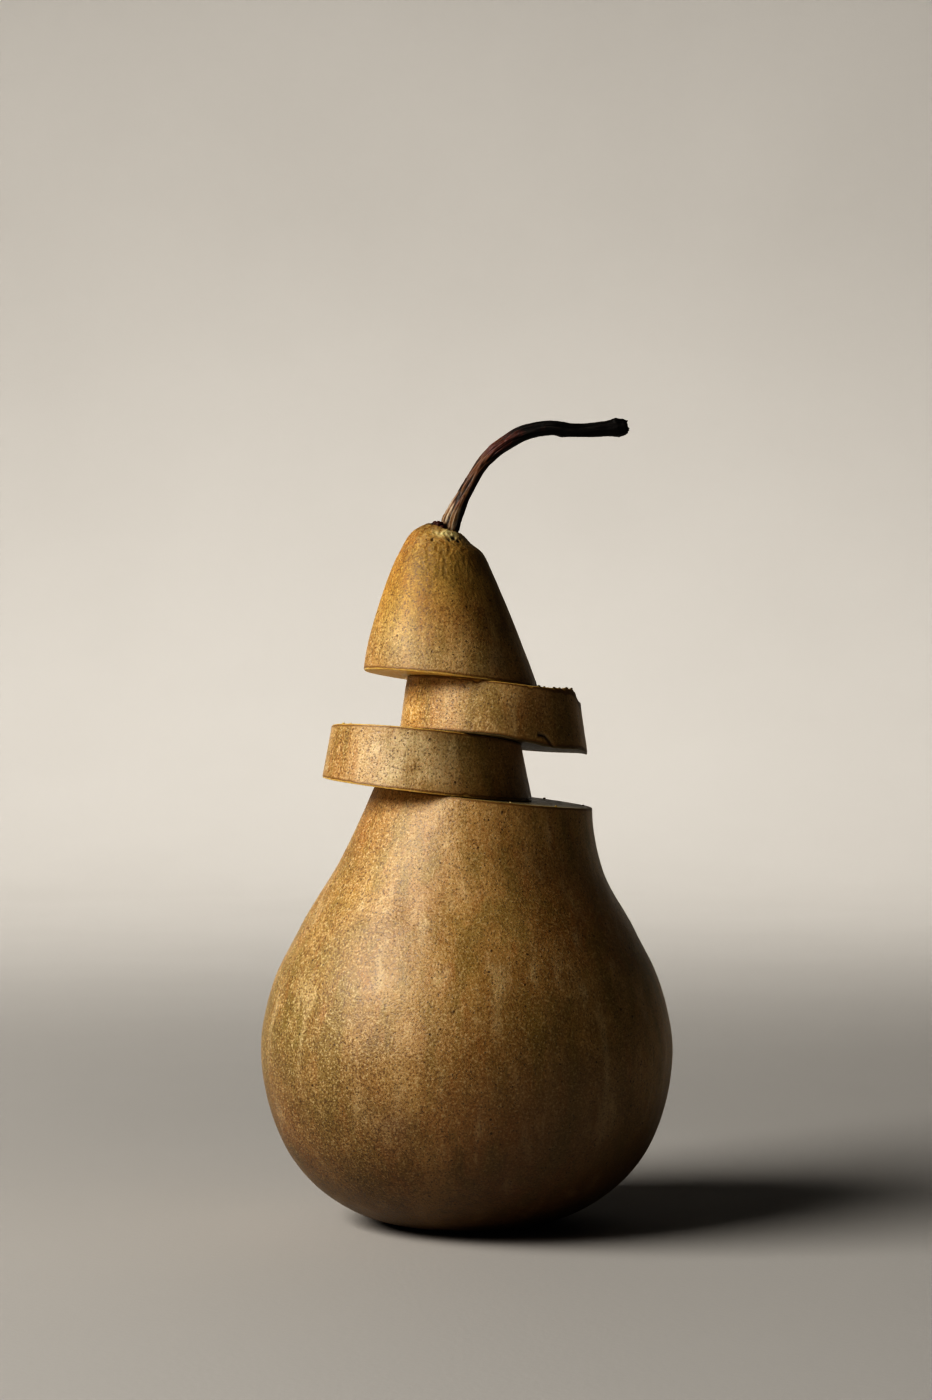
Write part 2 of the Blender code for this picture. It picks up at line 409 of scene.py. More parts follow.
@dataclass(frozen=True)
class Patches:
    """Where the skin is greener, browner, duller or brighter than elsewhere; some patches seen from the front
    are painted shade and painted light rather than its own tints.
    """

    # Painted shade: the ochre tint's tan patches, the olive ones at 214 and 304 degrees and the rust one at
    # 300 darken the skin on the left cheek, over the sheen, in front and on the shaded right. Painted light:
    # the cream ones at 256 and 274 degrees lighten the lower slice's front where the slice above shades it.
    # For each tint: angle in degrees, height and spread in millimetres, and strength
    seen: tuple[tuple[Tint, Line], ...] = (
        (Tint.OCHRE, (
            (210, 37, 18, 1), (219, 40, 9, 0.95), (194, 18, 14, 0.7), (236, 70, 6, 0.35),
            (265, 60, 9, 0.3), (296, 34, 19, 0.7), (284, 96, 6, 0.95),
        )),
        (Tint.OLIVE, (
            (304, 95, 7, 0.5), (214, 38, 9, 0.85), (229, 25, 8, 0.75), (211, 47, 6, 0.45),
            (236, 13, 6, 0.55), (246, 33, 5, 0.3), (199, 37, 9, 0.7), (266, 125, 7, 0.65),
            (300, 128, 5, 0.55),
        )),
        (Tint.CREAM, (
            (256, 90, 6, 0.9), (274, 90, 6, 1), (282, 111, 8, 0.6), (287, 123, 7, 0.9),
            (232, 116, 6, 0.6),
        )),
        (Tint.RUST, (
            (300, 101, 5, 0.45), (281, 21, 7, 0.4), (184, 84, 5, 0.45), (180, 104, 6, 0.45),
            (206, 17, 7, 0.7), (250, 14, 5, 0.55), (270, 22, 8, 0.55), (237, 47, 2, 0.6),
            (250, 60, 4, 0.45), (190, 72, 7, 0.55), (290, 9, 9, 0.5), (207, 130, 5, 0.6),
            (285, 112, 5, 0.2), (215, 90, 5, 0.3),
        )),
        (Tint.MAUVE, (
            (250, 22, 4, 0.5), (238, 40, 7, 0.18), (243, 57, 6, 0.18), (235, 108, 4, 0.25),
            (252, 91, 4, 0.15),
        )),
        (Tint.GOLD, (
            (220, 46, 6, 0.25), (221, 62, 7, 0.35), (262, 52, 9, 0.25), (232, 121, 7, 0.42),
            (205, 102, 6, 0.35),
        )),
    )
    hidden_count: int = 34
    hidden_angles: tuple[float, float] = (-55.0, 175.0)
    hidden_heights: tuple[float, float] = (8.0, 124.0)
    seed: int = 31
    wobble: float = 0.45
    wobble_length: float = 5.5 * MM

    def all(self) -> tuple[Patch, ...]:
        """The patches that show from the front, and those drawn by chance for the other sides.

        Returns:
            The patches.
        """
        draw = np.random.default_rng(self.seed)
        tints = list(Tint)
        drawn = [
            Patch(
                tints[k % len(tints)],
                draw.uniform(*self.hidden_angles),
                draw.uniform(*self.hidden_heights),
                draw.uniform(4, 9),
                draw.uniform(0.3, 0.75),
            )
            for k in range(self.hidden_count)
        ]
        seen = [Patch(tint, *values) for tint, rows in self.seen for values in rows]
        return (*seen, *drawn)

    def at(self, radius: np.ndarray, height: np.ndarray, angle: np.ndarray) -> Fields:
        """How strong each tint is.

        Args:
            radius: The uncut pear's radius at each point.
            height: Each point's height in the uncut pear.
            angle: Each point's angle round the pear.

        Returns:
            For each tint's name, a value from 0 to 1 at each point.
        """
        places = round_places(radius, height, angle)
        wobble = 1 + self.wobble * GRAIN.at(places, self.wobble_length)
        fields = {tint.value: np.zeros(radius.shape) for tint in Tint}
        for patch in self.all():
            turn = turned(angle, patch.angle)
            away = np.hypot(turn * radius, height - patch.height * MM) / (patch.spread * MM)
            strength = patch.strength * np.exp(-((away * wobble) ** 2))
            fields[patch.tint.value] = np.maximum(fields[patch.tint.value], strength)
        return fields


@dataclass(frozen=True)
class SkinRelief:
    """The low swells, flutes and pits of the pear's skin."""

    swell: float = 0.30 * MM
    swell_length: float = 27 * MM
    lump: float = 0.13 * MM
    lump_length: float = 11 * MM
    ripple: float = 0.035 * MM
    ripple_length: float = 3.4 * MM
    flute: float = 0.16 * MM
    flutes: float = 1.7
    flute_length: float = 60 * MM
    foot_fade: float = 7 * MM
    # Where the pear is widest the skin lies this far inside its outline, so that no swell stands out of it
    held_in: float = 0.24 * MM
    held_from: float = 33.5 * MM
    held_full: float = 37.5 * MM
    # Shallow dents: angle in degrees, height, spread and depth in millimetres
    dents: Line = (
        (247, 60, 2.6, 0.28), (300, 40, 3.4, 0.30), (232, 20, 2.2, 0.20), (200, 68, 2.4, 0.22),
        (20, 52, 4.0, 0.35), (75, 28, 3.0, 0.28), (120, 62, 2.8, 0.30), (160, 36, 3.8, 0.32),
        (98, 112, 2.2, 0.25), (318, 108, 2.4, 0.25), (40, 90, 2.0, 0.20), (262, 86, 1.8, 0.12),
    )

    def at(self, radius: np.ndarray, height: np.ndarray, angle: np.ndarray) -> np.ndarray:
        """How far the skin stands out of the smooth outline.

        Args:
            radius: Each point's radius in the uncut pear.
            height: Its height there.
            angle: Its angle round the pear.

        Returns:
            The distance at each point.
        """
        places = round_places(radius, height, angle)
        push = self.swell * GRAIN.at(places, self.swell_length)
        push += self.lump * FINE_GRAIN.at(places, self.lump_length)
        push += self.ripple * GRAIN.at(places, self.ripple_length)
        round_it = round_places(1.0, height / self.flute_length, angle)
        push += self.flute * FINE_GRAIN.at(round_it * self.flutes, 1.0)
        for at_angle, at_height, spread, depth in self.dents:
            turn = turned(angle, at_angle)
            away = np.hypot(turn * radius, height - at_height * MM) / (spread * MM)
            push -= depth * MM * np.exp(-(away**2))
        held = self.held_in * ease((radius - self.held_from) / (self.held_full - self.held_from))
        return (push - held) * ease(height / self.foot_fade)


@dataclass(frozen=True)
class Scar:
    """A crack or crease in the skin along a line of angle in degrees and height in millimetres, darkened
    along it with painted shade.
    """

    line: Line
    depth: float
    width: float
    crease_shade: float = 1.0

    def closeness(self, radius: np.ndarray, height: np.ndarray, angle: np.ndarray) -> np.ndarray:
        """1 on the line, falling off to its sides.

        Args:
            radius: Each point's radius in the uncut pear.
            height: Its height there.
            angle: Its angle round the pear.

        Returns:
            The closeness at each point.
        """
        least = np.full(np.broadcast(radius, height, angle).shape, np.inf)
        for (angle_a, height_a), (angle_b, height_b) in zip(self.line, self.line[1:]):
            turn = turned(angle, angle_a)
            across = turn * radius
            up = height - height_a * MM
            step = math.radians(angle_b - angle_a) * radius
            rise = (height_b - height_a) * MM
            along = np.clip((across * step + up * rise) / (step**2 + rise**2), 0.0, 1.0)
            least = np.minimum(least, np.hypot(across - along * step, up - along * rise))
        return np.exp(-((least / self.width) ** 2))


@dataclass
class PearPiece:
    """A stretch of the pear, with skin round it and flesh on its cut faces."""

    name: str
    node: str
    standing: Standing
    sides: int
    skin_rings: int
    lower: Cut | None = None
    upper: Cut | None = None
    outline: Outline = field(default_factory=lambda: Outline(PEAR_OUTLINE))
    relief: SkinRelief = SkinRelief()
    patches: Patches = Patches()
    scars: tuple[Scar, ...] = ()
    # The skin slopes down towards +X round the stem
    tip_slope: float = 0.36
    tip_slope_start: float = 128 * MM
    tip_slope_reach: float = 6.5 * MM
    # Two pieces that lie on each other stay this far off the cut between them
    face_gap: float = 0.02 * MM
    skin_thickness: float = 0.09 * MM
    # The cheek with the coarsest russet, which is the side the lamp lights, so that its bright cream specks
    # are partly painted glints: in degrees, and how coarse it is elsewhere
    cheek: float = 208.0
    cheek_width: float = 44.0
    russet_least: float = 0.12
    russet_length: float = 21 * MM
    # How far the skin stops short of a cut, and how far the flesh's edge lies inside it
    stop_down: float = 0.40 * MM
    stop_up: float = 0.20 * MM
    shoulder: float = 0.30 * MM
    # The random swells of the skin's end and of the flesh's edge: the share and wavelength of each
    stop_swells: Line = ((0.35, 6 * MM), (0.25, 1.7 * MM))
    stop_least: float = 0.07 * MM
    inset_swells: Line = ((0.4, 1.1 * MM), (0.3, 0.6 * MM))
    inset_least: float = 0.3
    # The nicks in the skin's end, where a random value passes a limit
    nick_depth: float = 1.3 * MM
    nick_length: float = 2.3 * MM
    nick_from: float = 0.55
    # Where the rims' random values are read: how far out, how far apart, and how far on for each piece
    rim_reach: float = 19 * MM
    rim_apart: float = 7 * MM
    rim_shift: float = 9.0
    # Places between the skin's end and the face: how far up, how far in, and the finish's rim value
    edge_steps: Line = ((0.62, 0.25, 0.2), (0.93, 0.75, 0.3))
    # The rim value on the ledge where the skin ends, and on the face's own rim
    ledge_value: float = 0.05
    rim_value: float = 0.35
    # How fast the ochre under the skin gives way to cream across each face
    ripeness: dict[Face, float] = field(default_factory=lambda: {Face.UP: 1.0, Face.DOWN: 0.11})
    # How much each face is darkened with painted shade, a dark brown in place of the shade that falls on it
    browned: dict[Face, float] = field(default_factory=lambda: {Face.UP: 0.0, Face.DOWN: 0.0})
    # How far in from the rim the wear of a face reaches, as a share of the face
    worn_inward: float = 0.10
    face_rings: int = 24
    face_core: float = 0.35
    core_shares: tuple[float, ...] = (0.28, 0.2, 0.12, 0.05)
    face_wave: float = 0.07 * MM
    face_wave_length: float = 7 * MM
    face_grit: float = 0.028 * MM
    face_grit_length: float = 1.1 * MM
    halvings: int = 34

    def __post_init__(self) -> None:
        """Work out the angles of the rings' points."""
        self.angles = ring_angles(self.sides)

    def axis(self, height: np.ndarray, radius: np.ndarray) -> tuple[np.ndarray | float, np.ndarray | float]:
        """Where the piece's axis stands at a height."""
        return self.standing.x, self.standing.y

    def place(self, radius: np.ndarray, height: np.ndarray, angle: np.ndarray) -> np.ndarray:
        """Points of the uncut pear, put where the piece stands in the stack.

        Args:
            radius: Each point's radius in the uncut pear.
            height: Its height there.
            angle: Its angle round the pear.

        Returns:
            The points.
        """
        slope = self.tip_slope * ease((height - self.tip_slope_start) / self.tip_slope_reach)
        z = height - self.standing.lowered - slope * radius * np.cos(angle)
        x, y = self.axis(z, radius)
        reach = radius * (1 + sum(share * np.sin(count * angle) for count, share in SECTION_WAVES.items()))
        return np.stack([x + reach * np.cos(angle), y + reach * np.sin(angle), z], axis=-1)

    def push(self, radius: np.ndarray, height: np.ndarray, angle: np.ndarray) -> np.ndarray:
        """How far the skin stands out of the outline, with this piece's own marks.

        Args:
            radius: Each point's radius in the uncut pear.
            height: Its height there.
            angle: Its angle round the pear.

        Returns:
            The distance at each point.
        """
        push = self.relief.at(radius, height, angle)
        for scar in self.scars:
            push -= scar.depth * scar.closeness(radius, height - self.standing.lowered, angle)
        return push

    def skin_at(self, t: np.ndarray, angle: np.ndarray) -> np.ndarray:
        """The skin at t, counted in points of the outline.

        Args:
            t: Where on the outline.
            angle: The angle round the pear.

        Returns:
            The points.
        """
        radius, height, out, up = self.outline.at(t)
        push = self.push(radius, height, angle)
        return self.place(radius + out * push, height + up * push, angle)

    def where_cut(self, cut: Cut, offset: np.ndarray | float) -> np.ndarray:
        """How far up the outline a cut meets the skin at each angle, found by halving.

        Args:
            cut: The cut.
            offset: How far above the cut to look, for each angle or for all.

        Returns:
            The outline's t at each angle.
        """
        low = np.zeros(self.sides)
        high = np.full(self.sides, self.outline.last)
        for _ in range(self.halvings):
            middle = (low + high) / 2
            points = self.skin_at(middle, self.angles)
            below = points[:, 2] < cut.height_at(points) + offset
            low = np.where(below, middle, low)
            high = np.where(below, high, middle)
        return low

    def rim_line(self, length: float, face: Face) -> np.ndarray:
        """Random values round a rim, from about -1 to 1.

        Args:
            length: The size of a swell.
            face: Which way the cut face looks.

        Returns:
            One value for each angle.
        """
        round_it = round_places(self.rim_reach, face.value * self.rim_apart, self.angles)
        return FINE_GRAIN.at(round_it + self.standing.lowered * self.rim_shift, length)

    def swells(self, waves: Line, face: Face) -> np.ndarray:
        """The sum of random swells round a rim, each given by its share and its wavelength."""
        return sum(share * self.rim_line(length, face) for share, length in waves)

    def skin_stop(self, face: Face) -> np.ndarray:
        """How far the skin stops short of a cut at each angle: uneven, with a few nicks.

        Args:
            face: Which way the cut face looks.

        Returns:
            The distance at each angle.
        """
        stop = self.stop_up if face is Face.UP else self.stop_down
        nicks = self.nick_depth * np.maximum(self.rim_line(self.nick_length, face) - self.nick_from, 0.0)
        return np.maximum(stop * (1 + self.swells(self.stop_swells, face)) + nicks, self.stop_least)

    def inset(self, face: Face) -> np.ndarray:
        """How far the flesh's edge lies inside the skin at each angle, crumbly at its finest."""
        return self.shoulder * np.maximum(1 + self.swells(self.inset_swells, face), self.inset_least)

    def worn(self, face: Face) -> np.ndarray:
        """How far the face's rim lies below the cut at each angle."""
        return np.zeros(self.sides)

    def inward(self, face: Face, share: float, rounded: float) -> np.ndarray:
        """How much of the inset a place on the edge has, here so that the edge is rounded.

        Args:
            face: Which way the face looks.
            share: How far the place is from the skin's end to the face.
            rounded: Its share of the inset on a rounded edge.

        Returns:
            Its share of the inset at each angle.
        """
        return np.full((self.sides, 1), rounded)

    def face(self, cut: Cut, face: Face) -> tuple[np.ndarray, Rings]:
        """A cut face from the end of the skin inwards.

        Args:
            cut: The cut that makes it.
            face: Which way it looks.

        Returns:
            The outline's t where the skin ends, and each ring with its distance from the skin.
        """
        way = face.value
        worn = self.worn(face)
        t_end = self.where_cut(cut, -way * (self.skin_stop(face) + worn))
        t_face = self.where_cut(cut, -way * (self.face_gap + worn))
        outward = round_places(1.0, 0.0, self.angles)
        inset = self.inset(face)[:, None]
        ledge = self.skin_at(t_end, self.angles) - outward * self.skin_thickness
        rings: Rings = [(ledge, self.ledge_value)]
        for share, rounded, value in self.edge_steps:
            drawn_in = self.skin_thickness * (1 - share) + inset * self.inward(face, share, rounded)
            at_edge = self.skin_at(t_end + (t_face - t_end) * share, self.angles)
            rings.append((at_edge - outward * drawn_in, value))
        rim = self.skin_at(t_face, self.angles) - outward * inset
        middle = rim.mean(axis=0)
        reach = np.linalg.norm(rim - middle, axis=1).mean()
        for share in (*np.linspace(1.0, self.face_core, self.face_rings), *self.core_shares):
            ring = middle + (rim - middle) * share
            wave = 0.5 + 0.5 * GRAIN.at(ring, self.face_wave_length)
            grit = 0.5 + 0.5 * FINE_GRAIN.at(ring, self.face_grit_length)
            sunk = (self.face_wave * wave + self.face_grit * grit) * ease((1.06 - share) / 0.1)
            low = worn * ease((share - 1 + self.worn_inward) / self.worn_inward)
            ring[:, 2] = cut.height_at(ring) - way * (self.face_gap + sunk + low)
            rings.append((ring, self.rim_value + (1 - share) * reach / MM * self.ripeness[face]))
        return t_end, rings

    def marks(self, radius: np.ndarray, height: np.ndarray, angle: np.ndarray) -> Fields:
        """The skin's named values for its finish.

        Args:
            radius: Each point's radius in the uncut pear.
            height: Its height there.
            angle: Its angle round the pear.

        Returns:
            The values at each point.
        """
        fields = self.patches.at(radius, height, angle)
        # Painted shade: the skin is darkened along its cracks and creases
        dark = np.zeros(radius.shape)
        for scar in self.scars:
            close = scar.closeness(radius, height - self.standing.lowered, angle)
            dark = np.maximum(dark, scar.crease_shade * close)
        return {**fields, "dark": dark, "coarse": self.russet(radius, height, angle)}

    def russet(self, radius: np.ndarray, height: np.ndarray, angle: np.ndarray) -> np.ndarray:
        """How coarse the grain is, from 0 to 1: most on the sunny cheek that the lamp lights, where its cream
        specks are partly painted glints, and in wide drifts elsewhere.
        """
        drift = 0.5 + 0.5 * GRAIN.at(round_places(radius, height, angle), self.russet_length)
        return np.clip(self.russet_least + near(angle, self.cheek, self.cheek_width) + 0.30 * drift, 0.0, 1.0)

    def from_cuts(self, points: np.ndarray, stops: Sequence[tuple[Cut, np.ndarray]]) -> np.ndarray:
        """How many millimetres each point of the skin is from the nearest cut edge.

        Args:
            points: The skin's points.
            stops: Each cut, with how far the skin stops short of it.

        Returns:
            The distances.
        """
        least = np.full(points.shape[:-1], FAR)
        for cut, stop in stops:
            away = np.abs(cut.height_at(points) - points[..., 2]) - stop
            least = np.minimum(least, np.maximum(away, 0.0) / MM)
        return least

    def lay_skin(self, shell: Shell, start: np.ndarray | float, end: np.ndarray | float) -> None:
        """Lay the skin's rings.

        Args:
            shell: The shell that takes them.
            start: The outline's t of the first ring at each angle.
            end: The outline's t of the last ring.
        """
        shares = np.linspace(0.0, 1.0, self.skin_rings + 1)[:, None]
        t = start + (end - start) * shares + np.zeros(self.sides)
        angle = np.broadcast_to(self.angles, t.shape)
        radius, height, _, _ = self.outline.at(t)
        points = self.skin_at(t, angle)
        stops = []
        if self.lower:
            stops.append((self.lower, self.skin_stop(Face.DOWN)))
        if self.upper:
            stops.append((self.upper, self.skin_stop(Face.UP)))
        fields = {**self.marks(radius, height, angle), "rim": self.from_cuts(points, stops)}
        for row, ring in enumerate(points):
            shell.add(ring, Layer.SKIN, **{key: values[row] for key, values in fields.items()})

    def lay_bottom(self, shell: Shell) -> np.ndarray | float:
        """Lay the cut face underneath.

        Args:
            shell: The shell that takes the rings.

        Returns:
            The outline's t where the skin starts.
        """
        start, rings = self.face(self.lower, Face.DOWN)
        for ring, rim in reversed(rings):
            shell.add(ring, Layer.FLESH, rim=rim, browned=self.browned[Face.DOWN])
        return start

    def lay_top(self, shell: Shell, rings: Rings) -> None:
        """Lay the cut face on top, whose first band is the skin's own thickness.

        Args:
            shell: The shell that takes the rings.
            rings: The face's rings from the rim inwards.
        """
        for k, (ring, rim) in enumerate(rings):
            shell.add(ring, Layer.FLESH if k else Layer.SKIN, rim=rim, browned=self.browned[Face.UP])

    def shell(self) -> Shell:
        """The whole piece from its bottom to its top.

        Returns:
            The closed surface.
        """
        shell = Shell(self.sides)
        start = self.lay_bottom(shell)
        end, rings = self.face(self.upper, Face.UP)
        self.lay_skin(shell, start, end)
        self.lay_top(shell, rings)
        return shell

    def on_face(self, cut: Cut, face: Face, angle: float, inward: float) -> np.ndarray:
        """A point on a cut face.

        Args:
            cut: The cut that makes the face.
            face: Which way it looks.
            angle: Where on the rim, in degrees.
            inward: How far inside the rim, in metres.

        Returns:
            The point.
        """
        k = round(angle / 360 * self.sides) % self.sides
        rim = self.skin_at(self.where_cut(cut, -face.value * self.face_gap), self.angles)
        inside = rim.mean(axis=0) - rim[k]
        return rim[k] + inside / np.linalg.norm(inside) * inward - (0, 0, face.value * self.worn(face)[k])

    def build(self, finishes: Sequence[Material]) -> bpy.types.Object:
        """Make the piece and let it stand for its solid.

        Args:
            finishes: Its skin's material and its flesh's.

        Returns:
            The piece.
        """
        thing = make_piece(self.name, [self.shell()], finishes)
        hand_over(thing, Slot.SKIN, self.node)
        return thing


@dataclass
class Body(PearPiece):
    """The lower two thirds, which bends at the neck and stands on a flat ring round a hollow."""

    bend_start: float = 61.0 * MM
    bend_reach: float = 17.5 * MM
    bend: float = 2.55 * MM
    hollow: Outline = field(default_factory=lambda: Outline(HOLLOW_OUTLINE))
    hollow_rings: int = 30
    foot_rings: int = 8
    foot_inner: float = 7.1 * MM
    foot_outer: float = 12.0 * MM
    fold: float = 0.32 * MM
    folds: float = 1.5
    fold_length: float = 5 * MM
    # Painted shade: the skin's colour is darkened below this height, most at the foot
    painted_shade_top: float = 46 * MM
    # The cork round the foot: the radius where it starts and how far it takes to its full strength
    cork_from: float = 19 * MM
    cork_reach: float = 9 * MM
    cork_below: float = 20 * MM
    cork_share: float = 0.75

    def axis(self, height: np.ndarray, radius: np.ndarray) -> tuple[np.ndarray | float, np.ndarray | float]:
        """Where the body's axis stands at a height."""
        bend = np.maximum(height - self.bend_start, 0.0) / self.bend_reach
        return self.bend * bend**1.5, 0.0

    def marks(self, radius: np.ndarray, height: np.ndarray, angle: np.ndarray) -> Fields:
        """The skin's named values, darkened lower down with painted shade and with more cork towards the
        hollow.

        Args:
            radius: Each point's radius in the uncut pear.
            height: Its height there.
            angle: Its angle round the pear.

        Returns:
            The values at each point.
        """
        fields = super().marks(radius, height, angle)
        cork = ease((self.cork_from - radius) / self.cork_reach) * (height < self.cork_below)
        # Painted shade: 1 at the foot, fading to 0 at the height above which the skin keeps its colour
        low = ease((self.painted_shade_top - height) / self.painted_shade_top)
        return {**fields, "cork": cork * self.cork_share, "low": low}

    def lay_bottom(self, shell: Shell) -> float:
        """Lay the hollow with its folds and the flat foot round it.

        Args:
            shell: The shell that takes the rings.

        Returns:
            The outline's t where the skin starts.
        """
        for t in np.linspace(0.0, self.hollow.last, self.hollow_rings):
            radius, height, _, _ = self.hollow.at(t)
            round_it = round_places(self.folds, radius / self.fold_length, self.angles)
            deep = self.fold * GRAIN.at(round_it, 1.0) + 0.3 * self.fold * FINE_GRAIN.at(round_it * 3, 1.0)
            lifted = height + deep * ease(height / (1.5 * MM)) * ease(radius / (2 * MM))
            ring = self.place(np.full(self.sides, radius), lifted, self.angles)
            # Partly painted shade: the cork is darker deeper in the hollow's folds
            cork = 0.9 + 0.1 * np.clip(deep / self.fold, -1, 1)
            shell.add(ring, Layer.SKIN, cork=cork, **FOOT_VALUES)
        for share in np.linspace(0.0, 1.0, self.foot_rings + 2)[1:-1]:
            radius = self.foot_inner + (self.foot_outer - self.foot_inner) * share
            ring = self.place(np.full(self.sides, radius), np.zeros(self.sides), self.angles)
            shell.add(ring, Layer.SKIN, cork=0.9 - 0.2 * share, **FOOT_VALUES)
        return 0.0


@dataclass
class UpperSlice(PearPiece):
    """The slice with a chip and a ragged ridge on its upper rim, and a lower rim that hangs down."""

    chip_depth: float = 2.2 * MM
    chip_inward: float = 1.7 * MM
    chip_width: float = 14.0
    chip_steep: float = 2.2
    # The ragged ridge that the knife left on the upper rim at +X
    ridge_height: float = 1.0 * MM
    ridge_angle: float = -4.0
    ridge_width: float = 34.0
    ridge_rough: float = 0.16 * MM
    ridge_swells: Line = ((1.0, 1.5 * MM), (0.9, 0.8 * MM))
    # Where the lower rim hangs down: how far, and the angle and width in degrees
    sags: Line = ((0.6 * MM, 0.0, 17.0), (0.85 * MM, -50.0, 25.0))
    sag_fade: float = 2.2 * MM
    flat_share: float = 0.86
    # The jagged end of the skin in front of the chip
    ragged: float = 0.75 * MM
    ragged_angle: float = -30.0
    ragged_width: float = 42.0
    ragged_swells: Line = ((0.6, 1.4 * MM), (0.5, 0.7 * MM))

    def skin_stop(self, face: Face) -> np.ndarray:
        """The skin's end, knocked away at the chip and ragged in front of it.

        Args:
            face: Which way the cut face looks.

        Returns:
            The distance at each angle.
        """
        stop = super().skin_stop(face)
        if face is Face.DOWN:
            return stop
        jagged = np.maximum(self.swells(self.ragged_swells, face) + 0.1, 0.0)
        jagged *= near(self.angles, self.ragged_angle, self.ragged_width)
        return stop + self.ragged * jagged + self.chip_depth * self.chip()

    def chip(self) -> np.ndarray:
        """1 in the chip and 0 beside it, with a steep fall between."""
        return ease(self.chip_steep * near(self.angles, 0, self.chip_width))

    def worn(self, face: Face) -> np.ndarray:
        """How far the upper rim lies below the cut: less than nothing on its ragged ridge.

        Args:
            face: Which way the cut face looks.

        Returns:
            The distance at each angle.
        """
        if face is Face.DOWN:
            return super().worn(face)
        ridge = near(self.angles, self.ridge_angle, self.ridge_width)
        rough = self.swells(self.ridge_swells, face)
        return -self.ridge_height * ridge - self.ridge_rough * rough * ease(2 * ridge)

    def inward(self, face: Face, share: float, rounded: float) -> np.ndarray:
        """The edge's share of the inset, which makes the chip a flat slant.

        Args:
            face: Which way the cut face looks.
            share: How far the place is from the skin's end to the face.
            rounded: Its share of the inset on a rounded edge.

        Returns:
            Its share at each angle.
        """
        if face is Face.DOWN:
            return super().inward(face, share, rounded)
        return rounded + (share - rounded) * self.chip()[:, None]

    def inset(self, face: Face) -> np.ndarray:
        """The flesh's edge, knocked in at the chip.

        Args:
            face: Which way the cut face looks.

        Returns:
            The distance at each angle.
        """
        inset = super().inset(face)
        if face is Face.DOWN:
            return inset
        return inset + self.chip_inward * self.chip()

    def shell(self) -> Shell:
        """The whole slice, with its lower rim drawn down.

        Returns:
            The closed surface.
        """
        shell = super().shell()
        rim = self.skin_at(self.where_cut(self.lower, 0.0), self.angles)
        middle = rim.mean(axis=0)
        reach = np.linalg.norm((rim - middle)[:, :2], axis=1)
        sag = sum(depth * near(self.angles, angle, width) for depth, angle, width in self.sags)
        for ring in shell.rings:
            out = np.linalg.norm((ring - middle)[:, :2], axis=1) / reach
            above = ring[:, 2] - self.lower.height_at(ring)
            at_rim = ease((out - self.flat_share) / (1 - self.flat_share))
            ring[:, 2] -= sag * ease(1 - above / self.sag_fade) * at_rim
        return shell


